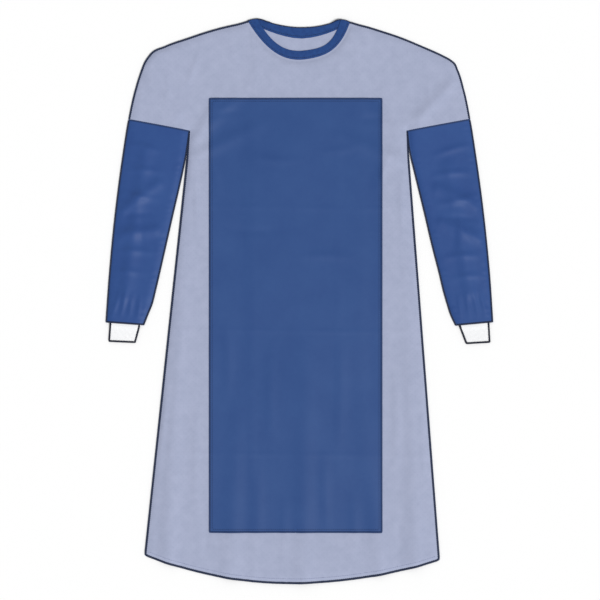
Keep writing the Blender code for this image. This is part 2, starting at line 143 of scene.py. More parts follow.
# Smooth curve through (station, value) rows: cubic pieces with the rows' own slopes
def along(stations, values, at):
    stations, values = np.asarray(stations, float), np.asarray(values, float)
    slopes = np.gradient(values, stations)
    row = np.clip(np.searchsorted(stations, at) - 1, 0, len(stations) - 2)
    step = stations[row + 1] - stations[row]
    t = (at - stations[row]) / step
    start = (1 + 2 * t) * (1 - t) ** 2 * values[row] + t * (1 - t) ** 2 * step * slopes[row]
    end = t * t * (3 - 2 * t) * values[row + 1] - t * t * (1 - t) * step * slopes[row + 1]
    return start + end


# An edge's x at height y: the smooth curve through its rows
def edgeX(rows, side, y):
    return along([r[0] for r in rows], [r[1 + side] for r in rows], y)


# Neckline: x follows a sine of the column, and y falls from each end to the low point with a
# power of the share across; grow moves the whole curve outwards
def neckCurve(name, columns, grow=0.0):
    endsName, low, rightPower, leftPower, leftRise = neckCurves[name]
    ends = plan[endsName]
    middle = sum(plan["neckColumns"]) / 2
    share = np.sin(np.clip((columns - middle) / (plan["neckColumns"][1] - middle), -1, 1) * np.pi / 2)
    onRight = share < 0
    reach = np.where(onRight, plan["neckX"] - ends[right][0], ends[left][0] - plan["neckX"]) + grow
    endY = np.where(onRight, ends[right][1], ends[left][1])
    power = np.where(onRight, rightPower, leftPower + leftRise * np.abs(share))
    y = low - grow + (endY - low + grow) * np.abs(share) ** power
    return np.stack([plan["neckX"] + share * reach, y], axis=-1)


# Shoulder line's y at x: the smooth curve through the outer edge's upper rows and the neck
# point, worked out on distances from the middle
def shoulderY(side, x):
    rows = [(abs(r[1 + side]), r[0]) for r in outerEdge if r[0] >= plan["cornerY"]]
    rows.append((abs(plan["neckPoints"][side][0]) + plan["gap"], plan["neckPoints"][side][1]))
    rows.sort()
    return along([r[0] for r in rows], [r[1] for r in rows], np.abs(x))


# Top edge by column number: between the named columns x goes in straight steps and y along
# the shoulder line, and between the neck points both follow the neckline
def topEdge(columns, neck):
    neckFirst, neckLast = plan["neckColumns"]
    neckX = (plan["neckPoints"][right][0] - plan["gap"], plan["neckPoints"][left][0] + plan["gap"])
    cornerX = [edgeX(outerEdge, side, plan["cornerY"]) for side in (right, left)]
    rightX = np.interp(
        columns, (-1, 0, 1, neckFirst),
        (cornerX[right], plan["shoulderX"][right], plan["panelX"][right], neckX[right]))
    leftX = np.interp(
        columns, (neckLast, 2, 3, 4),
        (neckX[left], plan["panelX"][left], plan["shoulderX"][left], cornerX[left]))
    points = neckCurve(neck, columns, plan["gap"])
    onRight = np.stack([rightX, shoulderY(right, rightX)], axis=-1)
    onLeft = np.stack([leftX, shoulderY(left, leftX)], axis=-1)
    points = np.where((columns <= neckFirst)[:, None], onRight, points)
    return np.where((columns >= neckLast)[:, None], onLeft, points)


# Side seam's x at height y: a straight line from the underarm to the hem's corner
def seamX(side, y):
    endX, endY = plan["hemEnds"][side]
    share = (plan["underarmY"] - y) / (plan["underarmY"] - endY)
    return plan["underarmX"][side] + share * (endX - plan["underarmX"][side])


# Hem: a parabola on each side of its low point
def hemY(x):
    lowX, lowY = plan["hemLow"]
    ends = plan["hemEnds"]
    endX = np.where(x < lowX, ends[right][0], ends[left][0])
    endY = np.where(x < lowX, ends[right][1], ends[left][1])
    return lowY + (endY - lowY) * ((x - lowX) / (endX - lowX)) ** 2


hemCorner = {"pull": 0.0012, "reach": 0.006}


# Hem corners drawn in a little, as a turned corner is: a point moves inwards and up by a
# bell-shaped function of its distance from the corner
def softCorner(points):
    for side, inward in ((right, 1), (left, -1)):
        away = ((points - plan["hemEnds"][side]) ** 2).sum(-1, keepdims=True)
        pull = hemCorner["pull"] * np.exp(-away / hemCorner["reach"] ** 2)
        points = points + pull * np.array((inward, 1)) / math.sqrt(2)
    return points


# One row of the body: x in straight steps between the side seams and the panel's edges, and
# y level at share 0, on the hem's curve at share 1 and in proportion between them
def bodyRow(columns, y, hemShare=0.0):
    sideY = [y + hemShare * (plan["hemEnds"][side][1] - y) for side in (right, left)]
    sideX = [seamX(side, sideY[side]) for side in (right, left)]
    x = np.interp(columns, (0, 1, 2, 3), (sideX[right], *plan["panelX"], sideX[left]))
    return softCorner(np.stack([x, y + hemShare * (hemY(x) - y)], axis=-1))


# Grid of the body: level rows from the underarm to the panel's lower edge, then rows that
# bend by even shares into the hem
def bodyPlan(columns, levelRows, hemRows):
    low = plan["panelY"][0]
    rows = [bodyRow(columns, y) for y in np.linspace(plan["underarmY"], low, levelRows + 1)]
    rows += [bodyRow(columns, low, share) for share in np.linspace(0, 1, hemRows + 1)[1:]]
    return np.array(rows)


# How far the overarm edge bows from a straight line, fading to the underarm column
def overarmBow(columns, share):
    bow = np.zeros((len(columns), 2))
    for side, weight in ((right, np.clip(-columns, 0, 1)), (left, np.clip(columns - 3, 0, 1))):
        startY, cornerY = plan["sleeveTopY"][side], plan["cornerY"]
        startX, cornerX = edgeX(outerEdge, side, startY), edgeX(outerEdge, side, cornerY)
        y = startY + share * (cornerY - startY)
        bow[:, 0] += weight * (edgeX(outerEdge, side, y) - startX - share * (cornerX - startX))
    return bow


# Grid of the chest, shoulders and upper sleeves: straight lines from the underarm row by a
# middle row, level with the panel's top, to the top edge, plus the bow of the overarm edge
def yokePlan(columns, chestRows, yokeRows, neck):
    bottom = bodyRow(columns, plan["underarmY"])
    for side, share in ((right, -columns), (left, columns - 3)):
        underarm = np.array((plan["underarmX"][side], plan["underarmY"]))
        topY = plan["sleeveTopY"][side]
        sleeveTop = np.array((edgeX(outerEdge, side, topY), topY))
        upperSleeve = underarm + np.clip(share, 0, 1)[:, None] * (sleeveTop - underarm)
        bottom = np.where((share > 0)[:, None], upperSleeve, bottom)
    top = topEdge(columns, neck)
    chest = plan["panelY"][1] - plan["underarmY"]
    chestShare = chest / (shoulderY(right, plan["panelX"][right]) - plan["underarmY"])
    middle = bottom + chestShare * (top - bottom)
    onPanel = (columns >= 1) & (columns <= 2)
    middle[onPanel, 0] = bottom[onPanel, 0]
    middle[onPanel, 1] = plan["panelY"][1]
    rows = []
    for i in range(chestRows + 1):
        bow = overarmBow(columns, chestShare * i / chestRows)
        rows.append(bottom + (middle - bottom) * i / chestRows + bow)
    for i in range(1, yokeRows + 1):
        share = chestShare + (1 - chestShare) * i / yokeRows
        rows.append(middle + (top - middle) * i / yokeRows + overarmBow(columns, share))
    return np.array(rows)


# Points on a sleeve's outer and inner edge at shares of its length, by even steps in y
def sleeveEdges(side, shares, startGap=0.0):
    startY = (plan["sleeveTopY"][side] - startGap, plan["underarmY"] - startGap)
    edges = []
    for table, start, end in zip((outerEdge, innerEdge), startY, plan["sleeveEndY"][side]):
        y = start + shares * (end - start)
        edges.append(np.stack([edgeX(table, side, y), y], axis=-1))
    return edges


# Layers of back cloth under the front: one, rising to two where the backs lap
def frontLayers(columns):
    return 1 + np.interp(columns, plan["frontSteps"], (0, 1, 1, 0))


# Layers under the right back: none, rising to one where it laps over the left back
def backLayers(columns):
    return np.interp(columns, plan["backStep"], (0, 1))


blockSize = 6000  # points worked on at once, which keeps the arrays small


# Distance from points to the nearest of many straight pieces: to the foot of the
# perpendicular, or to a piece's end. The share says how far along all the pieces that is.
def distanceTo(points, starts, ends):
    run = ends - starts
    length = np.maximum((run ** 2).sum(-1), 1e-12)  # never zero, for a piece without length
    flat = points.reshape(-1, 2)
    nearest = np.empty(len(flat))
    share = np.empty(len(flat))
    for first in range(0, len(flat), blockSize):
        block = flat[first:first + blockSize]
        offset = block[:, None, :] - starts
        t = np.clip((offset * run).sum(-1) / length, 0, 1)
        gap = ((offset - t[..., None] * run) ** 2).sum(-1)
        best = gap.argmin(-1)
        rows = np.arange(len(block))
        nearest[first:first + blockSize] = np.sqrt(gap[rows, best])
        share[first:first + blockSize] = (best + t[rows, best]) / len(starts)
    return nearest.reshape(points.shape[:-1]), share.reshape(points.shape[:-1])


outlineSteps = {"top": 90, "sleeve": 16, "overarm": 12}


# Sewn outline of the front and the sleeves as short straight pieces: their starts and ends
def outlineSegments():
    paths = [topEdge(np.linspace(-1, 4, outlineSteps["top"]), "frontSeam")]
    for side in (right, left):
        seamY = np.array([plan["underarmY"], plan["hemEnds"][side][1]])
        paths.append(np.stack([seamX(side, seamY), seamY], axis=-1))
        paths += sleeveEdges(side, np.linspace(0, 1, outlineSteps["sleeve"]))
        overarmY = np.linspace(plan["sleeveTopY"][side], plan["cornerY"], outlineSteps["overarm"])
        paths.append(np.stack([edgeX(outerEdge, side, overarmY), overarmY], axis=-1))
    return np.concatenate([p[:-1] for p in paths]), np.concatenate([p[1:] for p in paths])


outline = outlineSegments()

print("creases")
# Largest folds, as in the solids: (x, y, height) at each end and a half width
mainFolds = (
    (-0.232, 0.372, 0.0050, -0.120, 0.478, 0.0010, 0.016),
    (-0.226, 0.330, 0.0035, -0.085, 0.395, 0.0010, 0.015),
    (0.228, 0.372, 0.0045, 0.128, 0.462, 0.0010, 0.015),
    (0.222, 0.318, 0.0040, 0.090, 0.372, 0.0010, 0.016),
    (-0.262, 0.120, 0.0010, -0.296, -0.590, 0.0060, 0.020),
    (-0.130, -0.180, 0.0005, -0.158, -0.640, 0.0055, 0.022),
    (0.018, -0.060, 0.0005, 0.008, -0.640, 0.0045, 0.022),
    (0.150, -0.230, 0.0005, 0.182, -0.640, 0.0060, 0.021),
    (0.246, 0.060, 0.0010, 0.262, -0.600, 0.0050, 0.019),
    (-0.345, 0.500, 0.0030, -0.275, 0.420, 0.0040, 0.015),
    (0.348, 0.492, 0.0030, 0.270, 0.410, 0.0045, 0.015),
    (-0.398, 0.205, 0.0045, -0.318, 0.262, 0.0030, 0.013),
    (-0.402, 0.150, 0.0045, -0.322, 0.158, 0.0035, 0.013),
    (-0.345, 0.330, 0.0030, -0.392, 0.010, 0.0040, 0.016),
    (0.396, 0.215, 0.0045, 0.314, 0.252, 0.0030, 0.013),
    (0.402, 0.142, 0.0045, 0.320, 0.176, 0.0030, 0.013),
    (0.336, 0.300, 0.0030, 0.384, 0.020, 0.0040, 0.016),
)
# Smaller creases: start, bend and end points in millimetres,
# height in millimetres in the middle (a trough is below zero) and half width
smallCreases = (
    ((-215, 352), (-185, 300), (-176, 220), 1.5, 8),
    ((-238, 300), (-226, 232), (-232, 150), 1.4, 8),
    ((-228, 395), (-190, 432), (-160, 500), 1.6, 9),
    ((-205, 410), (-165, 428), (-128, 424), -1.0, 8),
    ((-262, 470), (-232, 520), (-222, 574), 1.2, 8),
    ((-300, 430), (-290, 470), (-300, 520), 1.1, 8),
    ((-168, 600), (-150, 560), (-128, 535), 1.2, 7),
    ((212, 346), (188, 300), (172, 236), 1.4, 8),
    ((232, 286), (226, 220), (236, 132), 1.3, 8),
    ((226, 398), (196, 440), (176, 498), 1.5, 9),
    ((204, 402), (168, 414), (132, 406), -0.9, 8),
    ((258, 462), (236, 506), (214, 560), 1.2, 8),
    ((300, 428), (286, 468), (292, 512), 1.0, 8),
    ((160, 598), (146, 566), (118, 546), 1.1, 7),
    ((-92, 556), (-98, 520), (-88, 482), 0.9, 6),
    ((-48, 536), (-50, 508), (-42, 470), 0.7, 6),
    ((40, 536), (46, 506), (40, 474), 0.8, 6),
    ((88, 554), (92, 522), (84, 478), 0.8, 6),
    ((-120, 330), (-60, 306), (20, 318), 0.9, 9),
    ((150, 356), (90, 330), (40, 338), 0.8, 8),
    ((-180, 170), (-110, 148), (-30, 160), -0.8, 9),
    ((-10, 96), (60, 108), (140, 92), 0.9, 9),
    ((-170, -40), (-150, -130), (-166, -240), 1.3, 10),
    ((-60, -90), (-70, -210), (-58, -330), 1.2, 11),
    ((92, -60), (100, -190), (88, -350), 1.3, 11),
    ((60, -320), (54, -420), (66, -560), 1.4, 10),
    ((-96, -340), (-88, -460), (-98, -610), 1.5, 11),
    ((-230, -220), (-236, -360), (-226, -520), 1.6, 11),
    ((-296, -140), (-300, -240), (-318, -380), 1.3, 9),
    ((216, -120), (224, -280), (214, -430), 1.5, 11),
    ((270, -180), (282, -330), (280, -470), 1.3, 9),
    ((120, -420), (128, -500), (120, -600), 1.4, 10),
    ((-30, -430), (-36, -520), (-30, -630), 1.3, 10),
    ((-210, -440), (-204, -520), (-214, -600), -1.0, 9),
    ((230, -470), (222, -530), (228, -598), -1.0, 9),
    ((-390, 352), (-350, 352), (-300, 330), 1.6, 8),
    ((-396, 292), (-350, 300), (-296, 284), 1.5, 8),
    ((-404, 246), (-366, 232), (-306, 226), 1.7, 8),
    ((-410, 190), (-372, 198), (-312, 196), -1.0, 7),
    ((-414, 108), (-372, 118), (-316, 104), 1.6, 8),
    ((-420, 62), (-390, 72), (-340, 58), 1.1, 7),
    ((-352, 232), (-362, 160), (-350, 96), -0.9, 8),
    ((-424, -38), (-408, -8), (-404, 34), 1.2, 5),
    ((-404, -42), (-394, -10), (-386, 40), 1.3, 5),
    ((-384, -44), (-378, -6), (-372, 24), 1.2, 5),
    ((-366, -46), (-358, -14), (-358, 18), 1.1, 5),
    ((390, 350), (346, 346), (296, 322), 1.5, 8),
    ((396, 284), (352, 296), (290, 276), 1.6, 8),
    ((404, 238), (360, 222), (300, 216), 1.6, 8),
    ((408, 182), (370, 190), (306, 186), -1.0, 7),
    ((414, 98), (372, 108), (312, 92), 1.5, 8),
    ((418, 52), (388, 64), (334, 44), 1.1, 7),
    ((350, 238), (356, 168), (346, 100), -0.9, 8),
    ((424, -36), (410, -4), (404, 36), 1.2, 5),
    ((405, -40), (396, -6), (388, 32), 1.3, 5),
    ((386, -42), (378, -8), (374, 22), 1.2, 5),
    ((366, -44), (360, -12), (356, 20), 1.1, 5),
)
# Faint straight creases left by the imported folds: ends in millimetres, height, half width
packFolds = (
    ((-290, 212), (280, 206), 0.55, 4),
    ((-330, -64), (300, -72), 0.60, 4),
    ((-340, -342), (306, -350), 0.55, 4),
    ((-98, 540), (-106, -620), 0.55, 4),
    ((92, 546), (84, -620), 0.50, 4),
)
# Slow swells of the whole cloth: how many waves, their lengths and their height, in metres
swells = {"count": 14, "lengths": (0.12, 0.34), "height": 0.00022, "seed": 11}


# The swell: a sum of sine waves, each with its own direction, length and phase
def swellHeight(points):
    rng = np.random.default_rng(swells["seed"])
    angle = rng.uniform(0, 2 * np.pi, swells["count"])
    wave = 2 * np.pi / rng.uniform(*swells["lengths"], swells["count"])
    phase = rng.uniform(0, 2 * np.pi, swells["count"])
    total = np.zeros(points.shape[:-1])
    for a, w, p in zip(angle, wave, phase):
        total += np.sin(w * (points[..., 0] * math.cos(a) + points[..., 1] * math.sin(a)) + p)
    return swells["height"] * total


# How the creases are drawn: the points along a small one, the power that tapers it and what
# its height is multiplied by, and a pack fold's mean height, its share that comes and goes,
# the waves along it and how they are shifted from one fold to the next
creaseStyle = {
    "points": 9, "taper": 1.2, "gain": 1.3, "foldMean": 0.75, "foldWave": 0.25, "foldWaves": 23,
    "foldShift": 40}


# A small crease is a bell-shaped ridge along a bent line, highest in its middle and gone at
# its ends; a pack fold is one along a straight line, with an uneven height
def creaseHeight(points):
    total = np.zeros(points.shape[:-1])
    t = np.linspace(0, 1, creaseStyle["points"])[:, None]
    for start, bend, end, height, halfWidth in smallCreases:
        start, bend, end = (np.array(p) / 1000 for p in (start, bend, end))
        path = (1 - t) ** 2 * start + 2 * t * (1 - t) * bend + t * t * end
        distance, share = distanceTo(points, path[:-1], path[1:])
        taper = np.sin(np.pi * share) ** creaseStyle["taper"]
        ridge = np.exp(-(distance * 1000 / halfWidth) ** 2)
        total += creaseStyle["gain"] * height / 1000 * taper * ridge
    for start, end, height, halfWidth in packFolds:
        start, end = np.array([start]) / 1000, np.array([end]) / 1000
        distance, share = distanceTo(points, start, end)
        wave = np.sin(creaseStyle["foldWaves"] * share + creaseStyle["foldShift"] * start[0, 0])
        uneven = creaseStyle["foldMean"] + creaseStyle["foldWave"] * wave
        ridge = np.exp(-(distance * 1000 / halfWidth) ** 2)
        total += height / 1000 * uneven * ridge
    return total


# Puckers beside the sewing: their height and pitch, how far from the sewn band they are
# highest and how far they reach from there, and how slowly and how much they come and go
puckers = {
    "height": 0.00042, "pitch": 0.017, "start": 0.003, "reach": 0.010, "drift": 0.083,
    "driftTurn": 2.4, "mean": 0.6, "swing": 0.4, "sideTurn": 9}


# Short sine waves that run along a seam, with a bell-shaped height across it; a slow second
# wave shifts them and lets them swell and fade, differently on each side of the gown
def puckerHeight(points, edge, hem):
    total = np.zeros(edge.shape)
    for distance, run in ((edge, points[..., 1]), (hem, points[..., 0])):
        beside = np.exp(-((distance - plan["sewnBand"] - puckers["start"]) / puckers["reach"]) ** 2)
        sideTurn = puckers["sideTurn"] * np.sign(points[..., 0])
        drift = np.sin(2 * np.pi * run / puckers["drift"] + sideTurn)
        wave = np.sin(2 * np.pi * run / puckers["pitch"] + puckers["driftTurn"] * drift)
        total += beside * wave * (puckers["mean"] + puckers["swing"] * drift)
    return puckers["height"] * total


# Share from 0 to 1 with a soft start and a soft end: 3 s squared minus 2 s cubed
def softShare(share):
    share = np.clip(share, 0, 1)
    return share * share * (3 - 2 * share)


loftPower = 0.75  # an ellipse's is 0.5; a higher one starts more softly at the sewn band
fineBand = {"start": 0.002, "reach": 0.012}  # where the fine forms rise beside the sewing


# Underside of the upper cloth: the layers under it, a flat band where it is sewn, a loft
# that rises from the band, the largest folds, and then the small creases, the swell and the
# puckers
def frontHeight(points, layers):
    edge = distanceTo(points, *outline)[0]
    hem = np.clip(points[..., 1] - hemY(points[..., 0]), 0, None)
    near = np.clip((np.minimum(edge, hem) - plan["sewnBand"]) / plan["loftReach"], 0, 1)
    loft = plan["loft"] * (1 - (1 - near) ** 2) ** loftPower
    ridge = np.zeros(points.shape[:-1])
    for x0, y0, height0, x1, y1, height1, halfWidth in mainFolds:
        distance, share = distanceTo(points, np.array([[x0, y0]]), np.array([[x1, y1]]))
        ridge += (height0 + share * (height1 - height0)) * np.exp(-(distance / halfWidth) ** 2)
    fade = softShare(edge / plan["foldFade"])
    rise = softShare((edge - fineBand["start"]) / fineBand["reach"])
    fine = creaseHeight(points) + swellHeight(points) + puckerHeight(points, edge, hem)
    return plan["layer"] * layers + loft + ridge * fade + fine * rise


print("materials")


# sRGB hex to linear colour, by the sRGB standard's own formula
def hexColour(text):
    shares = [int(text[i:i + 2], 16) / 255 for i in (1, 3, 5)]
    return [s / 12.92 if s <= 0.04045 else ((s + 0.055) / 1.055) ** 2.4 for s in shares] + [1.0]


# Adds one node: its settings, its sockets' values and the links into it
def addNode(tree, kind, settings=None, values=None, links=None):
    node = tree.nodes.new(kind)
    for name, value in (settings or {}).items():
        setattr(node, name, value)
    for name, value in (values or {}).items():
        node.inputs[name].default_value = value
    for name, socket in (links or {}).items():
        tree.links.new(socket, node.inputs[name])
    return node


# New material with its shader's constants set; a socket's name has _ for each space
def newMaterial(name, roughness, **sockets):
    material = bpy.data.materials.new(name)
    material.use_nodes = True
    tree = material.node_tree
    shader = tree.nodes["Principled BSDF"]
    shader.inputs["Roughness"].default_value = roughness
    for socket, value in sockets.items():
        shader.inputs[socket.replace("_", " ")].default_value = value
    return material, tree, shader


# Finish from one pattern: its low and high values take the dark and the light colour, and
# the same pattern stands in relief; span is (low, high), relief is (strength, depth)
def finishFrom(tree, shader, pattern, span, colours, relief):
    spread = addNode(
        tree, "ShaderNodeMapRange", values={"From Min": span[0], "From Max": span[1]},
        links={"Value": pattern})
    ramp = addNode(tree, "ShaderNodeValToRGB", links={"Fac": spread.outputs["Result"]})
    for element, colour in zip(ramp.color_ramp.elements, colours):
        element.color = hexColour(colour)
    bump = addNode(
        tree, "ShaderNodeBump", values={"Strength": relief[0], "Distance": relief[1]},
        links={"Height": pattern})
    tree.links.new(ramp.outputs["Color"], shader.inputs["Base Color"])
    tree.links.new(bump.outputs["Normal"], shader.inputs["Normal"])


bondPoint = {"turn": 45, "edge": 1.15, "middle": 1.75}


# Lattice of round bond points: the sum of two slanted cosine waves, cut off below the
# points' edge and flat above their middle
def bondLattice(tree, coordinates, pitch):
    turned = addNode(
        tree, "ShaderNodeMapping", values={"Rotation": (0, 0, math.radians(bondPoint["turn"]))},
        links={"Vector": coordinates})
    split = addNode(tree, "ShaderNodeSeparateXYZ", links={"Vector": turned.outputs["Vector"]})
    waves = []
    for axis in ("X", "Y"):
        scaled = addNode(
            tree, "ShaderNodeMath", {"operation": "MULTIPLY"}, {1: 2 * math.pi / pitch},
            {0: split.outputs[axis]})
        waves.append(addNode(
            tree, "ShaderNodeMath", {"operation": "COSINE"}, links={0: scaled.outputs[0]}))
    total = addNode(
        tree, "ShaderNodeMath", {"operation": "ADD"},
        links={0: waves[0].outputs[0], 1: waves[1].outputs[0]})
    return addNode(
        tree, "ShaderNodeMapRange", {"interpolation_type": "SMOOTHSTEP"},
        {"From Min": bondPoint["edge"], "From Max": bondPoint["middle"]},
        {"Value": total.outputs[0]}).outputs["Result"]


# Each finish has its patterns' sizes in one dictionary. A noise scale counts features in a
# metre: 55 gives clouds 18 mm wide, and 420 gives fibres in clumps of 2.4 mm. A share says
# how much of a pattern is added to the others, and span and relief are as above.
spunbond = {
    "bondPitch": 0.0080, "bondShare": -0.16, "cloudScale": 55, "fibreScale": 420, "fibreShare": 0.45,
    "span": (0.35, 1.05), "relief": (0.35, 0.0004)}


# Spunbond polypropylene nonwoven, bonded by hot pressing: matt, with pressed bond points and
# a cloudy web of fibres. Real bond points are 1.5 mm apart; they are drawn 8 mm apart, so
# that they show.
def spunbondPolypropylene(name, dark, light):
    material, tree, shader = newMaterial(
        name, 0.78, IOR=1.49, Sheen_Weight=0.12, Sheen_Roughness=0.5, Specular_IOR_Level=0.25)
    place = addNode(tree, "ShaderNodeTexCoord").outputs["Object"]
    cloud = addNode(
        tree, "ShaderNodeTexNoise",
        values={"Scale": spunbond["cloudScale"], "Detail": 5, "Roughness": 0.62},
        links={"Vector": place})
    fibres = addNode(
        tree, "ShaderNodeTexNoise",
        values={"Scale": spunbond["fibreScale"], "Detail": 3, "Roughness": 0.7, "Distortion": 1.2},
        links={"Vector": place})
    lattice = bondLattice(tree, place, spunbond["bondPitch"])
    web = addNode(
        tree, "ShaderNodeMath", {"operation": "MULTIPLY_ADD"}, {1: spunbond["fibreShare"]},
        {0: fibres.outputs["Fac"], 2: cloud.outputs["Fac"]})
    pressed = addNode(
        tree, "ShaderNodeMath", {"operation": "MULTIPLY_ADD"}, {1: spunbond["bondShare"]},
        {0: lattice, 2: web.outputs[0]})
    finishFrom(
        tree, shader, pressed.outputs[0], spunbond["span"], (dark, light), spunbond["relief"])
    return material


laminate = {
    "embossPitch": 0.0035, "embossShare": -0.1, "crinkleScale": 90, "crinkleShare": 0.5,
    "cloudScale": 14, "span": (0.45, 1.0), "relief": (0.3, 0.0006)}


# Nonwoven with a film laminated onto it: a smoother, denser cloth with a low sheen and fine
# crinkles 11 mm wide. Its embossing is 0.8 mm in the real cloth and is drawn 3.5 mm apart,
# so that it shows.
def filmLaminate(name, dark, light):
    material, tree, shader = newMaterial(
        name, 0.52, IOR=1.5, Sheen_Weight=0.06, Sheen_Roughness=0.4, Specular_IOR_Level=0.3)
    place = addNode(tree, "ShaderNodeTexCoord").outputs["Object"]
    crinkle = addNode(
        tree, "ShaderNodeTexNoise",
        values={"Scale": laminate["crinkleScale"], "Detail": 6, "Roughness": 0.6, "Distortion": 0.6},
        links={"Vector": place})
    cloud = addNode(
        tree, "ShaderNodeTexNoise",
        values={"Scale": laminate["cloudScale"], "Detail": 3, "Roughness": 0.5},
        links={"Vector": place})
    lattice = bondLattice(tree, place, laminate["embossPitch"])
    mixed = addNode(
        tree, "ShaderNodeMath", {"operation": "MULTIPLY_ADD"}, {1: laminate["crinkleShare"]},
        {0: crinkle.outputs["Fac"], 2: cloud.outputs["Fac"]})
    pressed = addNode(
        tree, "ShaderNodeMath", {"operation": "MULTIPLY_ADD"}, {1: laminate["embossShare"]},
        {0: lattice, 2: mixed.outputs[0]})
    finishFrom(
        tree, shader, pressed.outputs[0], laminate["span"], (dark, light), laminate["relief"])
    return material


# Stripes: a sine wave along one direction of the piece's own UV map, which is in metres
def uvStripes(tree, socket, pitch):
    uv = addNode(tree, "ShaderNodeUVMap", {"uv_map": "cut"})
    split = addNode(tree, "ShaderNodeSeparateXYZ", links={"Vector": uv.outputs["UV"]})
    scaled = addNode(
        tree, "ShaderNodeMath", {"operation": "MULTIPLY"}, {1: 2 * math.pi / pitch},
        {0: split.outputs[socket]})
    sine = addNode(tree, "ShaderNodeMath", {"operation": "SINE"}, links={0: scaled.outputs[0]})
    return sine.outputs[0]


tape = {
    "ribPitch": 0.0022, "threadPitch": 0.0016, "threadShare": 0.35, "noiseScale": 160,
    "weaveShare": 0.12, "span": (0.3, 0.7), "relief": (0.4, 0.0003)}


# Woven polyester tape: fairly matt, with fine ribs across it and threads along it. Its ribs
# are 0.6 mm apart in the real tape; they are drawn 2.2 mm apart and the threads 1.6 mm, so
# that they show.
def wovenTape(name, dark, light):
    material, tree, shader = newMaterial(
        name, 0.68, IOR=1.5, Sheen_Weight=0.15, Sheen_Roughness=0.4, Specular_IOR_Level=0.3)
    ribs = uvStripes(tree, "X", tape["ribPitch"])
    threads = uvStripes(tree, "Y", tape["threadPitch"])
    weave = addNode(
        tree, "ShaderNodeMath", {"operation": "MULTIPLY_ADD"}, {1: tape["threadShare"]},
        {0: threads, 2: ribs})
    place = addNode(tree, "ShaderNodeTexCoord").outputs["Object"]
    noise = addNode(
        tree, "ShaderNodeTexNoise",
        values={"Scale": tape["noiseScale"], "Detail": 4, "Roughness": 0.6},
        links={"Vector": place})
    mixed = addNode(
        tree, "ShaderNodeMath", {"operation": "MULTIPLY_ADD"}, {1: tape["weaveShare"]},
        {0: weave.outputs[0], 2: noise.outputs["Fac"]})
    finishFrom(tree, shader, mixed.outputs[0], tape["span"], (dark, light), tape["relief"])
    return material


knit = {
    "loopPitch": 0.0014, "loopShare": 0.2, "fuzzScale": 900, "span": (0.2, 0.75),
    "relief": (0.5, 0.0003)}


# Rib-knitted polyester: soft and matt with a fine fuzz, its columns of loops 1.4 mm apart
# round the cuff. The ribs are in the mesh.
def ribKnit(name, dark, light):
    material, tree, shader = newMaterial(
        name, 0.85, IOR=1.5, Sheen_Weight=0.3, Sheen_Roughness=0.5, Specular_IOR_Level=0.2)
    loops = uvStripes(tree, "Y", knit["loopPitch"])
    place = addNode(tree, "ShaderNodeTexCoord").outputs["Object"]
    fuzz = addNode(
        tree, "ShaderNodeTexNoise",
        values={"Scale": knit["fuzzScale"], "Detail": 3, "Roughness": 0.7},
        links={"Vector": place})
    mixed = addNode(
        tree, "ShaderNodeMath", {"operation": "MULTIPLY_ADD"}, {1: knit["loopShare"]},
        {0: loops, 2: fuzz.outputs["Fac"]})
    finishFrom(tree, shader, mixed.outputs[0], knit["span"], (dark, light), knit["relief"])
    return material


thread = {
    "plyPitch": 0.0009, "plyShare": 0.15, "noiseScale": 300, "span": (0.2, 0.8),
    "relief": (0.4, 0.0002)}


# Spun polyester thread, wrapped over an edge: low sheen, with plies 0.9 mm apart along it,
# coarser than the real 0.3 mm, so that they show
def polyesterThread(name, dark, light):
    material, tree, shader = newMaterial(
        name, 0.6, IOR=1.5, Sheen_Weight=0.15, Sheen_Roughness=0.3, Specular_IOR_Level=0.35)
    plies = uvStripes(tree, "X", thread["plyPitch"])
    place = addNode(tree, "ShaderNodeTexCoord").outputs["Object"]
    noise = addNode(
        tree, "ShaderNodeTexNoise",
        values={"Scale": thread["noiseScale"], "Detail": 3, "Roughness": 0.6},
        links={"Vector": place})
    mixed = addNode(
        tree, "ShaderNodeMath", {"operation": "MULTIPLY_ADD"}, {1: thread["plyShare"]},
        {0: plies, 2: noise.outputs["Fac"]})
    finishFrom(tree, shader, mixed.outputs[0], thread["span"], (dark, light), thread["relief"])
    return material


bodyCloth = spunbondPolypropylene("Spunbond polypropylene, pale grey-blue", "#9CA4BE", "#AAB1CB")
panelCloth = filmLaminate("Film laminate, panel blue", "#264882", "#2C4E87")
sleeveCloth = filmLaminate("Film laminate, sleeve blue", "#254785", "#2B4E8B")
neckTape = wovenTape("Woven polyester tape, deep blue", "#163A76", "#1F4886")
cuffKnit = ribKnit("Polyester rib knit, white", "#E9EBEE", "#FFFFFF")
edgeThread = polyesterThread("Polyester thread, navy", "#0F1B38", "#172848")
cuffThread = polyesterThread("Polyester thread, dark navy", "#0A1024", "#0E162C")
paleThread = polyesterThread("Polyester thread, pale grey-blue", "#8F97B6", "#A5ADC9")
panelThread = polyesterThread("Polyester thread, blue", "#132C5A", "#1B3A6A")

print("makers")


# Four-sided faces of a grid of points, numbered row by row; a wrapped grid closes each row
def quadFaces(rows, columns, wrapped=False):
    spans = columns if wrapped else columns - 1
    i, j = np.meshgrid(np.arange(rows - 1), np.arange(spans), indexing="ij")
    k = (j + 1) % columns
    low, high = i * columns, (i + 1) * columns
    return np.stack([low + j, low + k, high + k, high + j], axis=-1).reshape(-1, 4)


meshing = {"mergeReach": 0.000002, "faceUp": 0.5, "sharpAngle": 50, "roundAngle": 180}


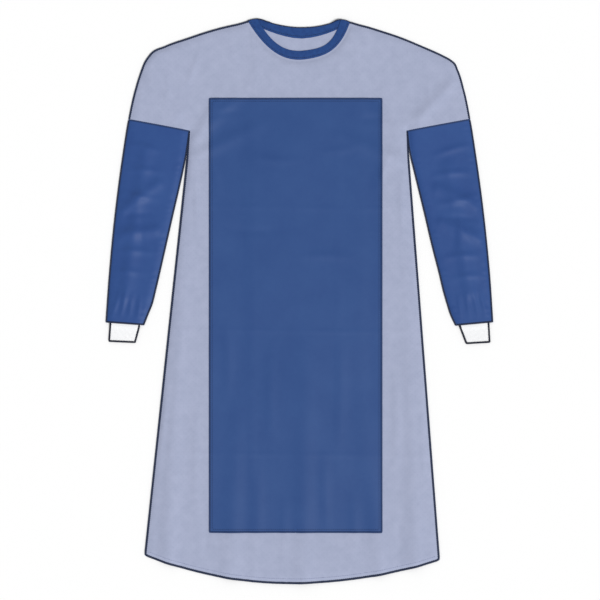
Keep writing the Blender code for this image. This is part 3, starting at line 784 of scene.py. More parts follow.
# Puts arrays of points and faces into one mesh object; uv is one (u, v) for each point, in
# metres. Doubles are merged and normals recalculated, and an open sheet that has no face
# looking up is turned over.
def newPiece(name, points, faces, material, uv, sharpAngle=meshing["sharpAngle"]):
    mesh = bpy.data.meshes.new(name)
    mesh.from_pydata(points.tolist(), [], [tuple(f) for f in faces])
    layer = mesh.uv_layers.new(name="cut")
    corners = np.empty(len(mesh.loops), dtype=np.int32)
    mesh.loops.foreach_get("vertex_index", corners)
    layer.data.foreach_set("uv", np.asarray(uv, dtype=np.float32)[corners].ravel())
    work = bmesh.new()
    work.from_mesh(mesh)
    bmesh.ops.remove_doubles(work, verts=work.verts, dist=meshing["mergeReach"])
    bmesh.ops.recalc_face_normals(work, faces=work.faces)
    if not any(face.normal.z > meshing["faceUp"] for face in work.faces):
        bmesh.ops.reverse_faces(work, faces=work.faces)
    work.to_mesh(mesh)
    work.free()
    mesh.materials.append(material)
    mesh.shade_smooth()
    mesh.set_sharp_from_angle(angle=math.radians(sharpAngle))
    piece = bpy.data.objects.new(name, mesh)
    bpy.context.scene.collection.objects.link(piece)
    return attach(piece, "root")


# Gives an open sheet its thickness below its upper face, or inside its outer one
def thicken(piece, thickness):
    solidify = piece.modifiers.new("wall", "SOLIDIFY")
    solidify.thickness = thickness
    solidify.offset = -1
    solidify.use_even_offset = False
    depsgraph = bpy.context.evaluated_depsgraph_get()
    mesh = bpy.data.meshes.new_from_object(piece.evaluated_get(depsgraph))
    piece.modifiers.clear()
    mesh.name = piece.name
    piece.data = mesh
    mesh.shade_smooth()
    mesh.set_sharp_from_angle(angle=math.radians(meshing["sharpAngle"]))
    return piece


# Sheet from patches of upper-face points; each patch is a grid of (x, y, z)
def clothSheet(name, patches, material, thickness):
    points = np.concatenate([patch.reshape(-1, 3) for patch in patches])
    faces, first = [], 0
    for patch in patches:
        faces.append(quadFaces(*patch.shape[:2]) + first)
        first += patch.shape[0] * patch.shape[1]
    piece = newPiece(name, points, np.concatenate(faces), material, points[:, :2])
    return thicken(piece, thickness)


# Plan points with their heights as a third column; z is one number or one for each point
def liftTo(planPoints, z):
    z = np.broadcast_to(z, planPoints.shape[:-1])
    return np.concatenate([planPoints, z[..., None]], axis=-1)


# Shares from 0 to 1 that lie denser near both ends: half of 1 - cos
def denseEnds(count):
    return (1 - np.cos(np.linspace(0, np.pi, count))) / 2


# Flattened tube: its top and bottom faces meet at two edges, each rounded as a half ellipse.
# outer and inner are the edge points of each ring, and topZ and bottomZ work out the two
# faces' heights from plan points. Only a tube with a wall is open at its ends.
def flatTube(name, outer, inner, steps, topZ, bottomZ, rounding, material, wall=None):
    shares = denseEnds(steps)
    run = inner - outer
    width = np.linalg.norm(run, axis=-1)
    points = outer[:, None, :] + shares[None, :, None] * run[:, None, :]
    edge = np.minimum(shares, 1 - shares)[None, :] * width[:, None]
    fullness = np.sqrt(1 - (1 - np.clip(edge / rounding, 0, 1)) ** 2)
    top, bottom = topZ(points), bottomZ(points)
    middle = np.minimum((top + bottom) / 2, bottom + rounding)
    upper = liftTo(points, middle + (top - middle) * fullness)
    lower = liftTo(points, middle + (bottom - middle) * fullness)
    rings = np.concatenate([upper, lower[:, -2:0:-1]], axis=1)
    across = shares * width[:, None]
    across = np.concatenate([across, across[:, -2:0:-1]], axis=1)
    runs = np.linalg.norm(np.diff((outer + inner) / 2, axis=0), axis=-1)
    lengthwise = np.concatenate([[0], np.cumsum(runs)])
    uv = np.stack([np.broadcast_to(lengthwise[:, None], across.shape), across], axis=-1)
    rows, count = rings.shape[:2]
    faces = [tuple(f) for f in quadFaces(rows, count, wrapped=True)]
    if wall is None:
        faces += [tuple(range(count)), tuple(range((rows - 1) * count, rows * count))]
    piece = newPiece(name, rings.reshape(-1, 3), faces, material, uv.reshape(-1, 2))
    return thicken(piece, wall) if wall else piece


# Rows at even distances along a path, read off in straight lines, and the distance at each
def evenly(path, step):
    runs = np.linalg.norm(np.diff(path[:, :2], axis=0), axis=-1)
    lengths = np.concatenate([[0], np.cumsum(runs)])
    at = np.linspace(0, lengths[-1], max(3, int(lengths[-1] / step) + 1))
    columns = [np.interp(at, lengths, path[:, k]) for k in range(path.shape[1])]
    return np.stack(columns, axis=-1), at


cornerPoints = 7


# Path with rounded corners: each inner corner becomes a quadratic curve between the points
# one radius before it and one radius after it
def roundCorners(path, radius):
    t = np.linspace(0, 1, cornerPoints)[:, None]
    parts = [path[:1]]
    for before, corner, after in zip(path[:-2], path[1:-1], path[2:]):
        start = corner + radius * (before - corner) / np.linalg.norm(before - corner)
        end = corner + radius * (after - corner) / np.linalg.norm(after - corner)
        parts.append((1 - t) ** 2 * start + 2 * t * (1 - t) * corner + t * t * end)
    return np.concatenate([*parts, path[-1:]])


# Path moved sideways in plan, to its left where the distance is above zero; the distance is
# one number, or a column with one for each point
def inset(path, distance):
    tangent = np.gradient(path, axis=0)
    tangent /= np.linalg.norm(tangent, axis=-1, keepdims=True)
    return path + distance * np.stack([-tangent[:, 1], tangent[:, 0]], axis=-1)


# Ropes of overlocked thread: powers under 1 make the section squarer than an ellipse, calm
# keeps the side round the cloth's edge from swelling, and tip is where the rounded ends
# start, as a share of the half width
rope = {
    "sides": 10, "ringsPerStitch": 5, "pitch": 0.0045, "swell": 0.24, "calm": 0.45,
    "powerAcross": 0.65, "powerUp": 0.85, "tip": 0.1, "floorGap": 0.00005}


# Overlocked edge: a flattened rope of thread along rows of (x, y, bottom, top, width share),
# squarer than an ellipse and rounded off at its ends. Its radius swells once a stitch,
# turning a little round the rope, so the stitches lie slanted. inward is 1 or -1 where the
# cloth lies to the path's left or right: the rope's other side, round the cloth's edge, runs
# straight. It is 0 on a seam with cloth on both sides.
def threadEdge(name, rows, halfWidth, material, pitch=rope["pitch"], inward=0):
    rows, at = evenly(rows, pitch / rope["ringsPerStitch"])
    tangent = np.gradient(rows[:, :2], axis=0)
    tangent /= np.linalg.norm(tangent, axis=-1, keepdims=True)
    turn = np.linspace(0, 2 * np.pi, rope["sides"], endpoint=False)
    across = np.sign(np.cos(turn)) * np.abs(np.cos(turn)) ** rope["powerAcross"]
    upward = np.sign(np.sin(turn)) * np.abs(np.sin(turn)) ** rope["powerUp"]
    swell = rope["swell"] * (1 - rope["calm"] + rope["calm"] * inward * np.cos(turn))
    wave = swell * np.sin(2 * np.pi * at[:, None] / pitch + turn)
    ends = np.clip(np.minimum(at, at[-1] - at) / halfWidth, rope["tip"], 1)
    radius = (1 + wave) * np.sqrt(ends * (2 - ends))[:, None]
    middle = (rows[:, 2:3] + rows[:, 3:4]) / 2
    halfHeight = (rows[:, 3:4] - rows[:, 2:3]) / 2
    sideways = halfWidth * rows[:, 4:5] * across * radius
    rings = np.stack([
        rows[:, 0:1] - tangent[:, 1:2] * sideways,
        rows[:, 1:2] + tangent[:, 0:1] * sideways,
        np.maximum(middle + halfHeight * upward * radius, rope["floorGap"])], axis=-1)
    uv = np.stack(np.broadcast_arrays(at[:, None], turn * halfWidth), axis=-1)
    count = rope["sides"]
    faces = [tuple(f) for f in quadFaces(len(rows), count, wrapped=True)]
    faces += [tuple(range(count)), tuple(range((len(rows) - 1) * count, len(rows) * count))]
    points = rings.reshape(-1, 3)
    return newPiece(name, points, faces, material, uv.reshape(-1, 2), meshing["roundAngle"])


stitch = {
    "pitch": 0.005, "length": 0.0036, "halfWidth": 0.00055, "height": 0.0007, "sunk": 0.35,
    "tip": 0.55, "rings": 6, "sides": 6, "pathStep": 0.001}


# Row of stitches: short threads along a path that rise out of the cloth and dip back in as
# half a sine wave, thickest in their middles, made as one mesh
def stitchRow(name, path, material, shorter=1.0):
    path, at = evenly(path, stitch["pathStep"])
    length = stitch["length"] * shorter
    starts = np.arange(stitch["pitch"] / 2, at[-1] - length, stitch["pitch"] * shorter)
    share = np.linspace(0, 1, stitch["rings"])
    distance = starts[:, None] + share * length
    centre = np.stack([np.interp(distance, at, path[:, axis]) for axis in range(3)], axis=-1)
    centre[..., 2] += stitch["height"] * (np.sin(np.pi * share) - stitch["sunk"])
    tangent = centre[:, -1, :2] - centre[:, 0, :2]
    tangent /= np.linalg.norm(tangent, axis=-1, keepdims=True)
    sideways = np.stack([-tangent[:, 1], tangent[:, 0], np.zeros(len(tangent))], axis=-1)
    turn = np.linspace(0, 2 * np.pi, stitch["sides"], endpoint=False)
    plump = stitch["tip"] + (1 - stitch["tip"]) * np.sin(np.pi * share)
    radius = stitch["halfWidth"] * plump[:, None]
    rings = centre[:, :, None] + sideways[:, None, None] * (radius * np.cos(turn))[..., None]
    rings[..., 2] += radius * np.sin(turn)
    perStitch = len(share) * len(turn)
    first = np.arange(len(starts))[:, None, None] * perStitch
    sides = quadFaces(len(share), len(turn), wrapped=True)[None] + first
    caps = np.array([range(len(turn)), range(perStitch - len(turn), perStitch)])[None] + first
    faces = [tuple(f) for f in sides.reshape(-1, 4)] + [tuple(f) for f in caps.reshape(-1, len(turn))]
    uv = np.broadcast_to(distance[:, :, None, None], rings.shape[:3] + (2,)).reshape(-1, 2)
    return newPiece(name, rings.reshape(-1, 3), faces, material, uv, meshing["roundAngle"])


# Column numbers from first to last, evenly spaced between the whole ones and the extra ones,
# with at least two steps between two of them
def columnsOf(first, last, perColumn, extra=()):
    inner = {k for k in (*range(-1, 5), *extra) if first < k < last}
    knots = sorted({first, last, *inner})
    parts = []
    for a, b in zip(knots[:-1], knots[1:]):
        parts.append(np.linspace(a, b, max(2, round((b - a) * perColumn)) + 1)[:-1])
    return np.append(np.concatenate(parts), last)


print("front")
front = {
    "thickness": 0.0007,
    "columnSteps": 48,
    "bodyRows": 170,
    "hemRows": 22,
    "chestRows": 15,
    "yokeRows": 36,
}


# Upper face of the front at plan points and their columns: its underside and the solids' wall
def frontTop(planPoints, columns):
    return frontHeight(planPoints, frontLayers(columns)) + plan["wall"]


allColumns = columnsOf(-1, 4, front["columnSteps"], plan["neckColumns"])
bodyColumns = allColumns[(allColumns >= 0) & (allColumns <= 3)]
bodyGrid = bodyPlan(bodyColumns, front["bodyRows"], front["hemRows"])
yokeGrid = yokePlan(allColumns, front["chestRows"], front["yokeRows"], "frontSeam")
bodyTop = frontTop(bodyGrid, bodyColumns)
yokeTop = frontTop(yokeGrid, allColumns)
frontCloth = clothSheet(
    "frontCloth", [liftTo(bodyGrid, bodyTop), liftTo(yokeGrid, yokeTop)], bodyCloth, front["thickness"])
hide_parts("front_body")

print("reinforced panel")
panel = {"thickness": 0.0008, "rise": plan["layer"]}
onPanel = (bodyColumns >= 1) & (bodyColumns <= 2)
onPanelYoke = (allColumns >= 1) & (allColumns <= 2)
lastBody, lastChest = front["bodyRows"] + 1, front["chestRows"] + 1
panelBody = liftTo(bodyGrid[:lastBody, onPanel], bodyTop[:lastBody, onPanel] + panel["rise"])
panelChest = liftTo(
    yokeGrid[:lastChest, onPanelYoke], yokeTop[:lastChest, onPanelYoke] + panel["rise"])
frontPanel = clothSheet("frontPanel", [panelBody, panelChest], panelCloth, panel["thickness"])
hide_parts("front_reinforcement")

print("backs")
back = {
    "thickness": 0.0007, "bodyRows": 60, "hemRows": 8, "chestRows": 6, "yokeRows": 26,
    "columnSteps": 24}
for name, node, first, last, lapsOver in (
        ("backRightCloth", "back_right", -1, plan["rightBackEnd"], True),
        ("backLeftCloth", "back_left", plan["leftBackEnd"], 4, False)):
    own = columnsOf(first, last, back["columnSteps"], (*plan["neckColumns"], *plan["backStep"]))
    ownBody = own[(own >= 0) & (own <= 3)]
    patches = []
    for grid, gridColumns in (
            (bodyPlan(ownBody, back["bodyRows"], back["hemRows"]), ownBody),
            (yokePlan(own, back["chestRows"], back["yokeRows"], "backSeam"), own)):
        lift = plan["layer"] * backLayers(gridColumns) if lapsOver else 0.0
        patches.append(liftTo(grid, lift + plan["wall"]))
    piece = clothSheet(name, patches, bodyCloth, back["thickness"])
    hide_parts(node)

print("sleeves")
sleeve = {"thickness": 0.0008, "rings": 130, "steps": 64, "rounding": 0.003}
for side in (right, left):
    outer, inner = sleeveEdges(side, np.linspace(0, 1, sleeve["rings"]), plan["gap"])
    piece = flatTube(
        "sleeve" + sideNames[side].capitalize() + "Cloth", outer, inner, sleeve["steps"],
        lambda p: frontHeight(p, 1.0) + plan["wall"], lambda p: np.zeros(p.shape[:-1]),
        sleeve["rounding"], sleeveCloth, sleeve["thickness"])
    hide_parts("sleeve_" + sideNames[side])

print("cuffs")
# top and end hold (outer x, outer y, inner x, inner y) for each side, where a cuff leaves its
# sleeve and where it ends, and distances along a cuff count from the first. The ribs and the
# step down onto the surface start and end at the given distances, the wrist's flare spreads
# in a few waves, and bends are the angles of the rounded corners' rings.
cuff = {
    "top": ((-0.4269, -0.0531, -0.3588, -0.0592), (0.4280, -0.0520, 0.3608, -0.0596)),
    "end": ((-0.4297, -0.0923, -0.3682, -0.0950), (0.4304, -0.0943, 0.3750, -0.0976)),
    "inside": 0.018,
    "length": 0.040,
    "ribs": 24,
    "ribHeight": 0.0007,
    "ribStart": (0.0005, 0.003),
    "step": (0.0005, 0.0095),
    "rings": 60,
    "steps": 193,
    "wall": 0.0009,
    "rounding": 0.0014,
    "flare": 0.0002,
    "flareStart": 0.034,
    "flareReach": 0.006,
    "flareWaves": 3.5,
    "corner": 0.0025,
    "bends": (20, 40, 60, 78),
    "cutBack": 0.0009,
}


# The cuff's lower side: one layer up inside the sleeve, where it lies on the sleeve's lower
# face, and down in a straight line to the surface a centimetre outside it
def cuffLift(distance):
    return plan["layer"] * np.interp(distance, cuff["step"], (1, 0))


# Outer and inner point of the cuff where it leaves its sleeve, and of its end
def cuffEnds(side):
    return (np.array(cuff[key][side]).reshape(2, 2) for key in ("top", "end"))


# Cuff: straight rings from inside the sleeve to the wrist, the last ones drawn in along a
# quarter circle; the ribs are a cosine across, and only outside the sleeve
def ribbedCuff(side):
    top, end = cuffEnds(side)
    knitEnd = cuff["length"] - cuff["cutBack"]
    distance = np.linspace(-cuff["inside"], knitEnd - cuff["corner"], cuff["rings"])
    bend = np.radians(cuff["bends"])
    distance = np.append(distance, knitEnd - cuff["corner"] * (1 - np.sin(bend)))
    outer, inner = (top[k] + (distance / cuff["length"])[:, None] * (end - top)[k] for k in (0, 1))
    past = np.clip(distance - knitEnd + cuff["corner"], 0, cuff["corner"])
    pull = cuff["corner"] - np.sqrt(cuff["corner"] ** 2 - past ** 2)
    towards = (end[1] - end[0]) / np.linalg.norm(end[1] - end[0])
    outer, inner = outer + pull[:, None] * towards, inner - pull[:, None] * towards
    lift = cuffLift(distance)[:, None]
    ribDepth = np.interp(distance, cuff["ribStart"], (0, 1))[:, None]
    wrist = np.clip((distance - cuff["flareStart"]) / cuff["flareReach"], 0, 1)[:, None]
    flare = cuff["flare"] * wrist ** 2
    shares = denseEnds(cuff["steps"])
    wave = 0.5 - 0.5 * np.cos(2 * np.pi * cuff["ribs"] * shares)[None, :]
    flutter = flare * (1 + np.sin(2 * np.pi * cuff["flareWaves"] * shares + side))[None, :]
    base = lift + 2 * plan["wall"] + plan["gap"]
    topZ = base + ribDepth * cuff["ribHeight"] * wave + flutter
    bottomZ = np.broadcast_to(lift, topZ.shape)
    return flatTube(
        "cuff" + sideNames[side].capitalize() + "Knit", outer, inner, cuff["steps"],
        lambda p: topZ, lambda p: bottomZ, cuff["rounding"], cuffKnit, cuff["wall"])


for side in (right, left):
    piece = ribbedCuff(side)
    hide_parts("cuff_" + sideNames[side])

print("neck bindings")
binding = {
    "thickness": 0.0016, "crown": 0.0007, "backThickness": 0.00095, "rounding": 0.0011,
    "bulge": 0.0016, "endAngles": (18, 36, 52, 66, 78), "endRings": 3, "rings": 150, "steps": 21}
# Where the horns' tops hold down the tapes: from how far off the middle, how far over the
# line of the edging, and how soft the bend is
hornTop = {"reach": (0.0840, 0.0820), "over": -0.0001, "blend": 0.0003}


# Keeps the ends of the bindings under the rounded tops of the horns: what stands over the
# line is brought down to it, with a soft bend, the logarithm of a sum of exponentials
def underHorn(points):
    for side in (right, left):
        rows = np.array(hornRows[side])
        x = points[..., 0]
        inside = (x > rows[0, 0]) & (x < rows[-1, 0]) & (np.abs(x) > hornTop["reach"][side])
        top = along(rows[:, 0], rows[:, 1], np.clip(x, rows[0, 0], rows[-1, 0])) + hornTop["over"]
        over = np.where(inside, points[..., 1] - top, -1)  # a metre under is out of reach
        down = hornTop["blend"] * np.logaddexp(0, over / hornTop["blend"])
        points = np.stack([x, points[..., 1] - down], axis=-1)
    return points


# Crown across a tape: a parabola, 1 in the middle and 0 at both edges
def crownShare(share):
    return 4 * (share * (1 - share))


# Binding: a flattened tape between its seam and its free edge, crowned by a parabola across
# and closed at its ends by half ellipses
def neckBinding(name, seamName, edgeName, first, last, layers, thickness, crown, roundFirst=True):
    columns = np.linspace(first, last, binding["rings"])
    seam, edge = neckCurve(seamName, columns), neckCurve(edgeName, columns)
    angles = np.radians(binding["endAngles"])
    behind = binding["endRings"]

    # Points round one closed end: the end's two points draw together with the cosine of each
    # angle, while they move outwards with its sine
    def closedEnd(seamEnd, edgeEnd, seamNext, edgeNext):
        middle = (seamEnd + edgeEnd) / 2
        outward = middle - (seamNext + edgeNext) / 2
        outward = outward / np.linalg.norm(outward) * binding["bulge"]
        lift = np.sin(angles)[:, None] * outward
        shrink = np.cos(angles)[:, None]
        return middle + shrink * (seamEnd - middle) + lift, middle + shrink * (edgeEnd - middle) + lift

    lastSeam, lastEdge = closedEnd(seam[-1], edge[-1], seam[-1 - behind], edge[-1 - behind])
    startSeam, startEdge = closedEnd(seam[0], edge[0], seam[behind], edge[behind])
    if roundFirst:
        seam, edge = np.concatenate([startSeam[::-1], seam]), np.concatenate([startEdge[::-1], edge])
        columns = np.concatenate([np.full(len(angles), first), columns])
    seam, edge = np.concatenate([seam, lastSeam]), np.concatenate([edge, lastEdge])
    seam, edge = underHorn(seam), underHorn(edge)
    columns = np.concatenate([columns, np.full(len(angles), last)])
    z = plan["layer"] * layers(columns)[:, None]
    top = z + thickness + crown * crownShare(denseEnds(binding["steps"]))[None, :]
    bottom = np.broadcast_to(z, top.shape)
    return flatTube(
        name, seam, edge, binding["steps"], lambda p: top, lambda p: bottom,
        binding["rounding"], neckTape)


frontBinding = neckBinding(
    "neckBindingFront", "frontSeam", "frontEdge", *plan["neckColumns"], frontLayers,
    binding["thickness"], binding["crown"])
backRightBinding = neckBinding(
    "neckBindingBackRight", "backSeam", "backEdge", *plan["neckColumns"], backLayers,
    binding["backThickness"], 0.0)
backLeftBinding = neckBinding(
    "neckBindingBackLeft", "backSeam", "backEdge", plan["leftBackEnd"], plan["neckColumns"][1],
    lambda columns: np.zeros(len(columns)), binding["backThickness"], 0.0, roundFirst=False)
for piece, node in (
        (frontBinding, "neck_binding_front"), (backRightBinding, "neck_binding_back_right"),
        (backLeftBinding, "neck_binding_back_left")):
    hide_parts(node)

print("sewing")
# Half widths of the ropes of thread
ropeWidth = {
    "bodySeam": 0.0027, "shoulderSeam": 0.0024, "sleeveSeam": 0.0021, "sleeveJoin": 0.0019,
    "sleeveEnd": 0.0021, "hem": 0.0026, "backHem": 0.0019, "panelEdge": 0.0022,
    "cuffEdge": 0.0023, "neckEdge": 0.0012}
# How the ropes lie: how far they stand over the cloth, with the shares of that for a rope on
# one layer and on the panel, how far outside its edge, and how deep the ones on one layer
# reach under it. The hem's rope is lifted, the free edge's is so many walls high, and the
# cuffs' has its own stitch length.
sewing = {
    "proud": 0.0010,
    "singleProud": 0.85,
    "panelProud": 0.7,
    "outside": 0.0003,
    "panelOutside": 0.0007,
    "under": 0.0004,
    "hemLift": 0.0006,
    "freeEdge": 1.2,
    "cuffPitch": 0.0036,
}
# Where the ropes start, end and turn: the side seams over the underarm, and how narrow and
# how far down the two ropes start there; the shoulders' rise to the neck, how far it reaches
# and how far the rope goes in under the tape, by (x, y); shares along and across a sleeve;
# the cuffs' rope inside the sleeve and its corners' size; the hems' ends in column numbers
ropePlace = {
    "seamStart": 0.0022,
    "underarmShare": 0.42,
    "underarmReach": 0.070,
    "neckRise": (0.0024, 0.0026),
    "neckReach": 0.016,
    "neckUnder": (0.002, 0.0004),
    "overarmEnd": 0.001,
    "sleeveSpan": (0.0005, 0.999),
    "joinSpan": (0.006, 1.006),
    "joinUp": 0.0002,
    "cuffUnder": 0.0045,
    "cuffTurn": 1.4,
    "hemSpan": (0.004, 2.996),
}
# Points along the paths that the ropes and stitches follow, and the step along others
pathPoints = {
    "seam": 400, "overarm": 60, "sleeve": 300, "join": 160, "hem": 500, "backHem": 300,
    "neck": 240, "tape": 300}
pathStep = {"cuff": 0.0008, "freeEdge": 0.004, "panel": 0.002}
stitching = {
    "panelInset": 0.007, "panelCorner": 0.003, "hemInset": 0.012, "hemSpan": (0.03, 2.97),
    "tapeShare": 0.2, "tapeEnd": 0.01, "tapeShorter": 0.9}
bothLayers = 2 * plan["wall"] + plan["gap"] + sewing["proud"]


# Rows of (x, y, bottom, top, width share); the last three are one number or one for each row
def ropeRows(path, bottom, top, width=1.0):
    return np.column_stack([path, *np.broadcast_arrays(bottom, top, width, path[:, 0])[:3]])


# Rope that wraps both layers of cloth at an edge, from under the lower one to over the upper
# one. bottom is what the lower layer lies on, rise is what more lies between the two, and
# width is the share of the rope's own width, all of them one number or one for each point.
def wrappedEdge(
        name, path, inward, halfWidth, material, bottom=0.0, rise=0.0, pitch=rope["pitch"],
        width=1.0):
    width = np.broadcast_to(width, len(path))
    path = inset(path, inward * (halfWidth * width[:, None] - sewing["outside"]))
    rows = ropeRows(path, bottom, bottom + bothLayers + rise, width)
    return threadEdge(name, rows, halfWidth, material, pitch, inward)


# Rope along one layer of cloth whose upper face is at the given height, from just under the
# cloth, which is depth thick, to over it
def singleEdge(name, path, height, inward, halfWidth, material, depth=plan["wall"]):
    top = height + sewing["proud"] * sewing["singleProud"]
    rows = ropeRows(path, height - depth - sewing["under"], top)
    return threadEdge(name, rows, halfWidth, material, inward=inward)


# The two ropes that meet at the underarm start narrow there and widen in a straight line
def underarmWidth(path):
    below = plan["underarmY"] - path[:, 1]
    return np.interp(below, (0, ropePlace["underarmReach"]), (ropePlace["underarmShare"], 1))


# Path of a cuff's rope: out of the sleeve, round the cuff's end and back, by straight lines
# with rounded corners
def cuffPath(side):
    top, end = cuffEnds(side)
    start = top + (top - end) * ropePlace["cuffUnder"] / cuff["length"]
    corners = np.array([start[0], end[0], end[1], start[1]])
    return evenly(roundCorners(corners, cuff["corner"] * ropePlace["cuffTurn"]), pathStep["cuff"])[0]


for side, inward in ((right, 1), (left, -1)):
    label = sideNames[side].capitalize()
    seamTop = plan["underarmY"] + ropePlace["seamStart"]
    seamY = np.linspace(seamTop, plan["hemEnds"][side][1], pathPoints["seam"])
    seamPath = softCorner(np.stack([seamX(side, seamY), seamY], axis=-1))
    wrappedEdge(
        "sideSeam" + label, seamPath, inward, ropeWidth["bodySeam"], edgeThread,
        width=underarmWidth(seamPath))

    neckEndX = plan["neckPoints"][side][0] - inward * plan["gap"]
    cornerX = edgeX(outerEdge, side, plan["cornerY"])
    shoulderX = np.linspace(neckEndX, cornerX, pathPoints["seam"])
    shoulder = np.stack([shoulderX, shoulderY(side, shoulderX)], axis=-1)
    towardsNeck = np.exp(-((shoulderX - neckEndX) / ropePlace["neckReach"]) ** 2)
    shoulder[:, 1] += ropePlace["neckRise"][side] * towardsNeck
    underX, underY = ropePlace["neckUnder"]
    shoulder = np.concatenate([[shoulder[0] + (inward * underX, underY)], shoulder])
    overarmEnd = plan["sleeveTopY"][side] + ropePlace["overarmEnd"]
    overarmY = np.linspace(plan["cornerY"], overarmEnd, pathPoints["overarm"])[1:]
    overarm = np.stack([edgeX(outerEdge, side, overarmY), overarmY], axis=-1)
    overarmPath = np.concatenate([shoulder, overarm])
    columns = np.interp(
        np.abs(overarmPath[:, 0]), (abs(neckEndX), abs(plan["panelX"][side])),
        (plan["neckColumns"][side], 1 + side))
    rise = plan["layer"] * (frontLayers(columns) - 1)
    wrappedEdge(
        "overarmSeam" + label, overarmPath, inward, ropeWidth["shoulderSeam"], edgeThread,
        rise=rise)

    outer, inner = sleeveEdges(side, np.linspace(*ropePlace["sleeveSpan"], pathPoints["sleeve"]))
    wrappedEdge("sleeveOuterSeam" + label, outer, inward, ropeWidth["sleeveSeam"], edgeThread)
    wrappedEdge(
        "sleeveInnerSeam" + label, inner, -inward, ropeWidth["sleeveSeam"], edgeThread,
        width=underarmWidth(inner))
    outer, inner = sleeveEdges(side, np.array([0.0, 1.0]))
    across = np.linspace(*ropePlace["joinSpan"], pathPoints["join"])[:, None]
    joinLine = outer[0] + across * (inner[0] - outer[0]) + (0, ropePlace["joinUp"])
    height = frontHeight(joinLine, 1.0) + plan["wall"]
    singleEdge("sleeveJoin" + label, joinLine, height, 0, ropeWidth["sleeveJoin"], panelThread)
    endLine = outer[1] + across * (inner[1] - outer[1])
    endLine = inset(endLine, inward * (ropeWidth["sleeveEnd"] - sewing["outside"]))
    height = frontHeight(endLine, 1.0) + plan["wall"]
    singleEdge("sleeveEnd" + label, endLine, height, inward, ropeWidth["sleeveEnd"], edgeThread)

    path = cuffPath(side)
    cuffTopY = (cuff["top"][side][1] + cuff["top"][side][3]) / 2
    lift = cuffLift(cuffTopY - path[:, 1])
    wrappedEdge(
        "cuffEdge" + label, path, inward, ropeWidth["cuffEdge"], cuffThread, bottom=lift,
        rise=cuff["ribHeight"], pitch=sewing["cuffPitch"])


# Line along the hem at the given columns, moved inwards
def hemLine(columns, inwards):
    return inset(bodyRow(columns, plan["panelY"][0], 1.0), inwards)


hemFirst, hemLast = ropePlace["hemSpan"]
columns = np.linspace(hemFirst, hemLast, pathPoints["hem"])
line = hemLine(columns, ropeWidth["hem"] - sewing["outside"])
height = frontHeight(line, frontLayers(columns)) + plan["wall"] + sewing["hemLift"]
singleEdge(
    "frontHemEdge", line, height, 1, ropeWidth["hem"], edgeThread,
    plan["wall"] + sewing["hemLift"])
for name, first, last, lapsOver in (
        ("backRightHemEdge", hemFirst, plan["rightBackEnd"], True),
        ("backLeftHemEdge", plan["leftBackEnd"] - hemFirst, hemLast, False)):
    columns = np.linspace(first, last, pathPoints["backHem"])
    line = hemLine(columns, ropeWidth["backHem"] - sewing["outside"])
    height = plan["layer"] * (backLayers(columns) if lapsOver else 0 * columns) + plan["wall"]
    singleEdge(name, line, height, 1, ropeWidth["backHem"], edgeThread)

# Free edge of the outer back, down the gown's back: it shows from underneath
freeColumn = np.array([plan["leftBackEnd"]])
freeBody = bodyPlan(freeColumn, back["bodyRows"], back["hemRows"])[::-1, 0]
freeYoke = yokePlan(freeColumn, back["chestRows"], back["yokeRows"], "backSeam")[1:, 0]
freeLine = evenly(np.concatenate([freeBody, freeYoke]), pathStep["freeEdge"])[0]
freeLine = inset(freeLine, sewing["outside"] - ropeWidth["backHem"])
freeRows = ropeRows(freeLine, 0.0, plan["wall"] * sewing["freeEdge"])
threadEdge("backLeftFreeEdge", freeRows, ropeWidth["backHem"], edgeThread, inward=-1)

print("neck edging and stitching")
# Edging from one neck point over its horn, along the back binding's free edge and over the
# other horn. On the horns it covers all the tapes; between them it rides on the back's.
edging = {
    "inset": 0.0010, "deep": 0.0010, "over": 0.0005, "hornBottom": 0.0001, "hornOver": 0.0009,
    "clear": 0.006}
edgeColumns = np.linspace(*plan["neckColumns"], pathPoints["neck"])
backEdgeLine = neckCurve("backEdge", edgeColumns) - (0, edging["inset"])
backTapeTop = plan["layer"] * backLayers(edgeColumns) + binding["backThickness"]
backRows = ropeRows(backEdgeLine, backTapeTop - edging["deep"], backTapeTop + edging["over"])
firstX, lastX = hornRows[right][-1][0] + edging["clear"], hornRows[left][0][0] - edging["clear"]
backRows = backRows[(backEdgeLine[:, 0] > firstX) & (backEdgeLine[:, 0] < lastX)]
horns = []
for side in (right, left):
    tapeBottom = plan["layer"] * frontLayers(plan["neckColumns"][side])
    top = tapeBottom + binding["thickness"] + edging["hornOver"]
    horns.append(ropeRows(np.array(hornRows[side]), edging["hornBottom"], top))
rows = np.concatenate([horns[right], backRows, horns[left]])
threadEdge("neckEdge", rows, ropeWidth["neckEdge"], edgeThread, inward=-1)

panelRope = {"corner": 0.0006, "opening": 0.001}


# Loop just inside the panel's edge, a rectangle with rounded corners from the middle of its
# lower edge, and the front's upper face under it
def panelLoop(insetBy, radius):
    x0, x1 = plan["panelX"][0] + insetBy, plan["panelX"][1] - insetBy
    y0, y1 = plan["panelY"][0] + insetBy, plan["panelY"][1] - insetBy
    middle = (x0 + x1) / 2
    corners = [
        (middle, y0), (x1, y0), (x1, y1), (x0, y1), (x0, y0), (middle + panelRope["opening"], y0)]
    loop = evenly(roundCorners(np.array(corners), radius), pathStep["panel"])[0]
    panelColumns = 1 + (loop[:, 0] - plan["panelX"][0]) / (plan["panelX"][1] - plan["panelX"][0])
    return loop, frontTop(loop, panelColumns)


loop, under = panelLoop(ropeWidth["panelEdge"] - sewing["panelOutside"], panelRope["corner"])
rows = ropeRows(loop, under, under + panel["rise"] + sewing["proud"] * sewing["panelProud"])
threadEdge("panelEdge", rows, ropeWidth["panelEdge"], panelThread, inward=1)
loop, under = panelLoop(stitching["panelInset"], stitching["panelCorner"])
stitchRow("panelStitch", liftTo(loop, under + panel["rise"]), panelThread)

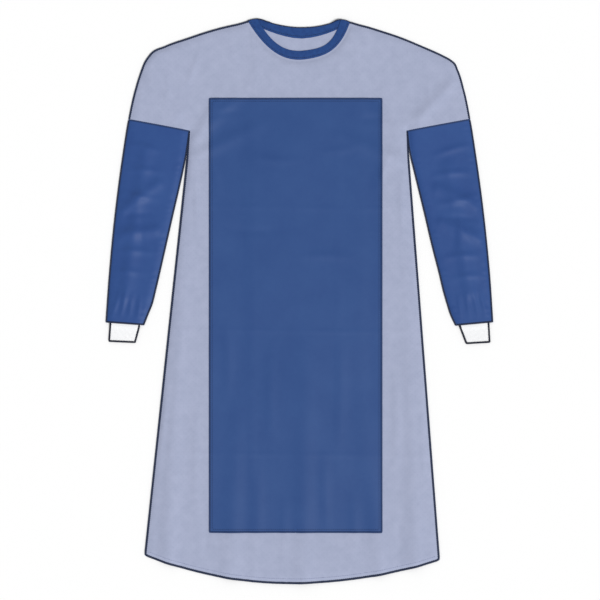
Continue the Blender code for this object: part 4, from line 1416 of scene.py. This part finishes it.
columns = np.linspace(*stitching["hemSpan"], pathPoints["hem"])
line = hemLine(columns, stitching["hemInset"])
stitchRow("hemStitch", liftTo(line, frontTop(line, columns)), paleThread)
neckFirst, neckLast = plan["neckColumns"]
tapeEnd, tapeShare = stitching["tapeEnd"], stitching["tapeShare"]
columns = np.linspace(neckFirst + tapeEnd, neckLast - tapeEnd, pathPoints["tape"])
frontTape = binding["thickness"] + binding["crown"] * crownShare(tapeShare)
for name, seamName, edgeName, layers, thickness in (
        ("neckStitchFront", "frontSeam", "frontEdge", frontLayers, frontTape),
        ("neckStitchBack", "backSeam", "backEdge", backLayers, binding["backThickness"])):
    seamLine, edgeLine = neckCurve(seamName, columns), neckCurve(edgeName, columns)
    line = seamLine + tapeShare * (edgeLine - seamLine)
    height = plan["layer"] * layers(columns) + thickness
    stitchRow(name, liftTo(line, height), edgeThread, stitching["tapeShorter"])

print("stage, light and camera")
# frame is the width of floor that the picture shows, and look the point under the camera;
# the key light is a soft sun, turned by keyTilt and keyTurn
stage = {
    "floor": 6.0, "floorDrop": 0.0001, "key": 1.9, "keyAngle": 22, "keyTilt": 38, "keyTurn": 38,
    "fill": 0.55, "lens": 85, "sensor": 36, "frame": 1.35, "look": (0.0017, 0.0018),
    "gownHeight": 0.0035}
half = stage["floor"] / 2
floorCorners = half * np.array([(-1, -1, 0), (1, -1, 0), (1, 1, 0), (-1, 1, 0)])
floorPoints = floorCorners - (0, 0, stage["floorDrop"])
floorMesh = bpy.data.meshes.new("floor")
floorMesh.from_pydata(floorPoints.tolist(), [], [(0, 1, 2, 3)])
floor = bpy.data.objects.new("floor", floorMesh)
bpy.context.scene.collection.objects.link(floor)
# White board with a matt coat of paint: even, without a shine
floorPaint = newMaterial(
    "Matt white board", 0.9, Specular_IOR_Level=0.1, Base_Color=hexColour("#FCFCFC"))[0]
floorMesh.materials.append(floorPaint)
floor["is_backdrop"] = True

keyData = bpy.data.lights.new("key", "SUN")
keyData.energy = stage["key"]
keyData.angle = math.radians(stage["keyAngle"])
key = bpy.data.objects.new("key", keyData)
key.rotation_euler = (math.radians(stage["keyTilt"]), 0, math.radians(stage["keyTurn"]))
bpy.context.scene.collection.objects.link(key)

world = bpy.data.worlds.new("studio")
world.use_nodes = True
background = world.node_tree.nodes["Background"]
background.inputs["Color"].default_value = (1, 1, 1, 1)
background.inputs["Strength"].default_value = stage["fill"]
bpy.context.scene.world = world
bpy.context.scene.view_settings.view_transform = "Standard"

cameraData = bpy.data.cameras.new("camera")
cameraData.lens = stage["lens"]
cameraData.sensor_width = stage["sensor"]
camera = bpy.data.objects.new("camera", cameraData)
cameraHeight = stage["frame"] * stage["lens"] / stage["sensor"] + stage["gownHeight"]
camera.location = (*stage["look"], cameraHeight)
bpy.context.scene.collection.objects.link(camera)
bpy.context.scene.camera = camera

sizes = {"cad": cadBox, "visual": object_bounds()}
sizes = {name: [list(map(float, corner)) for corner in box] for name, box in sizes.items()}
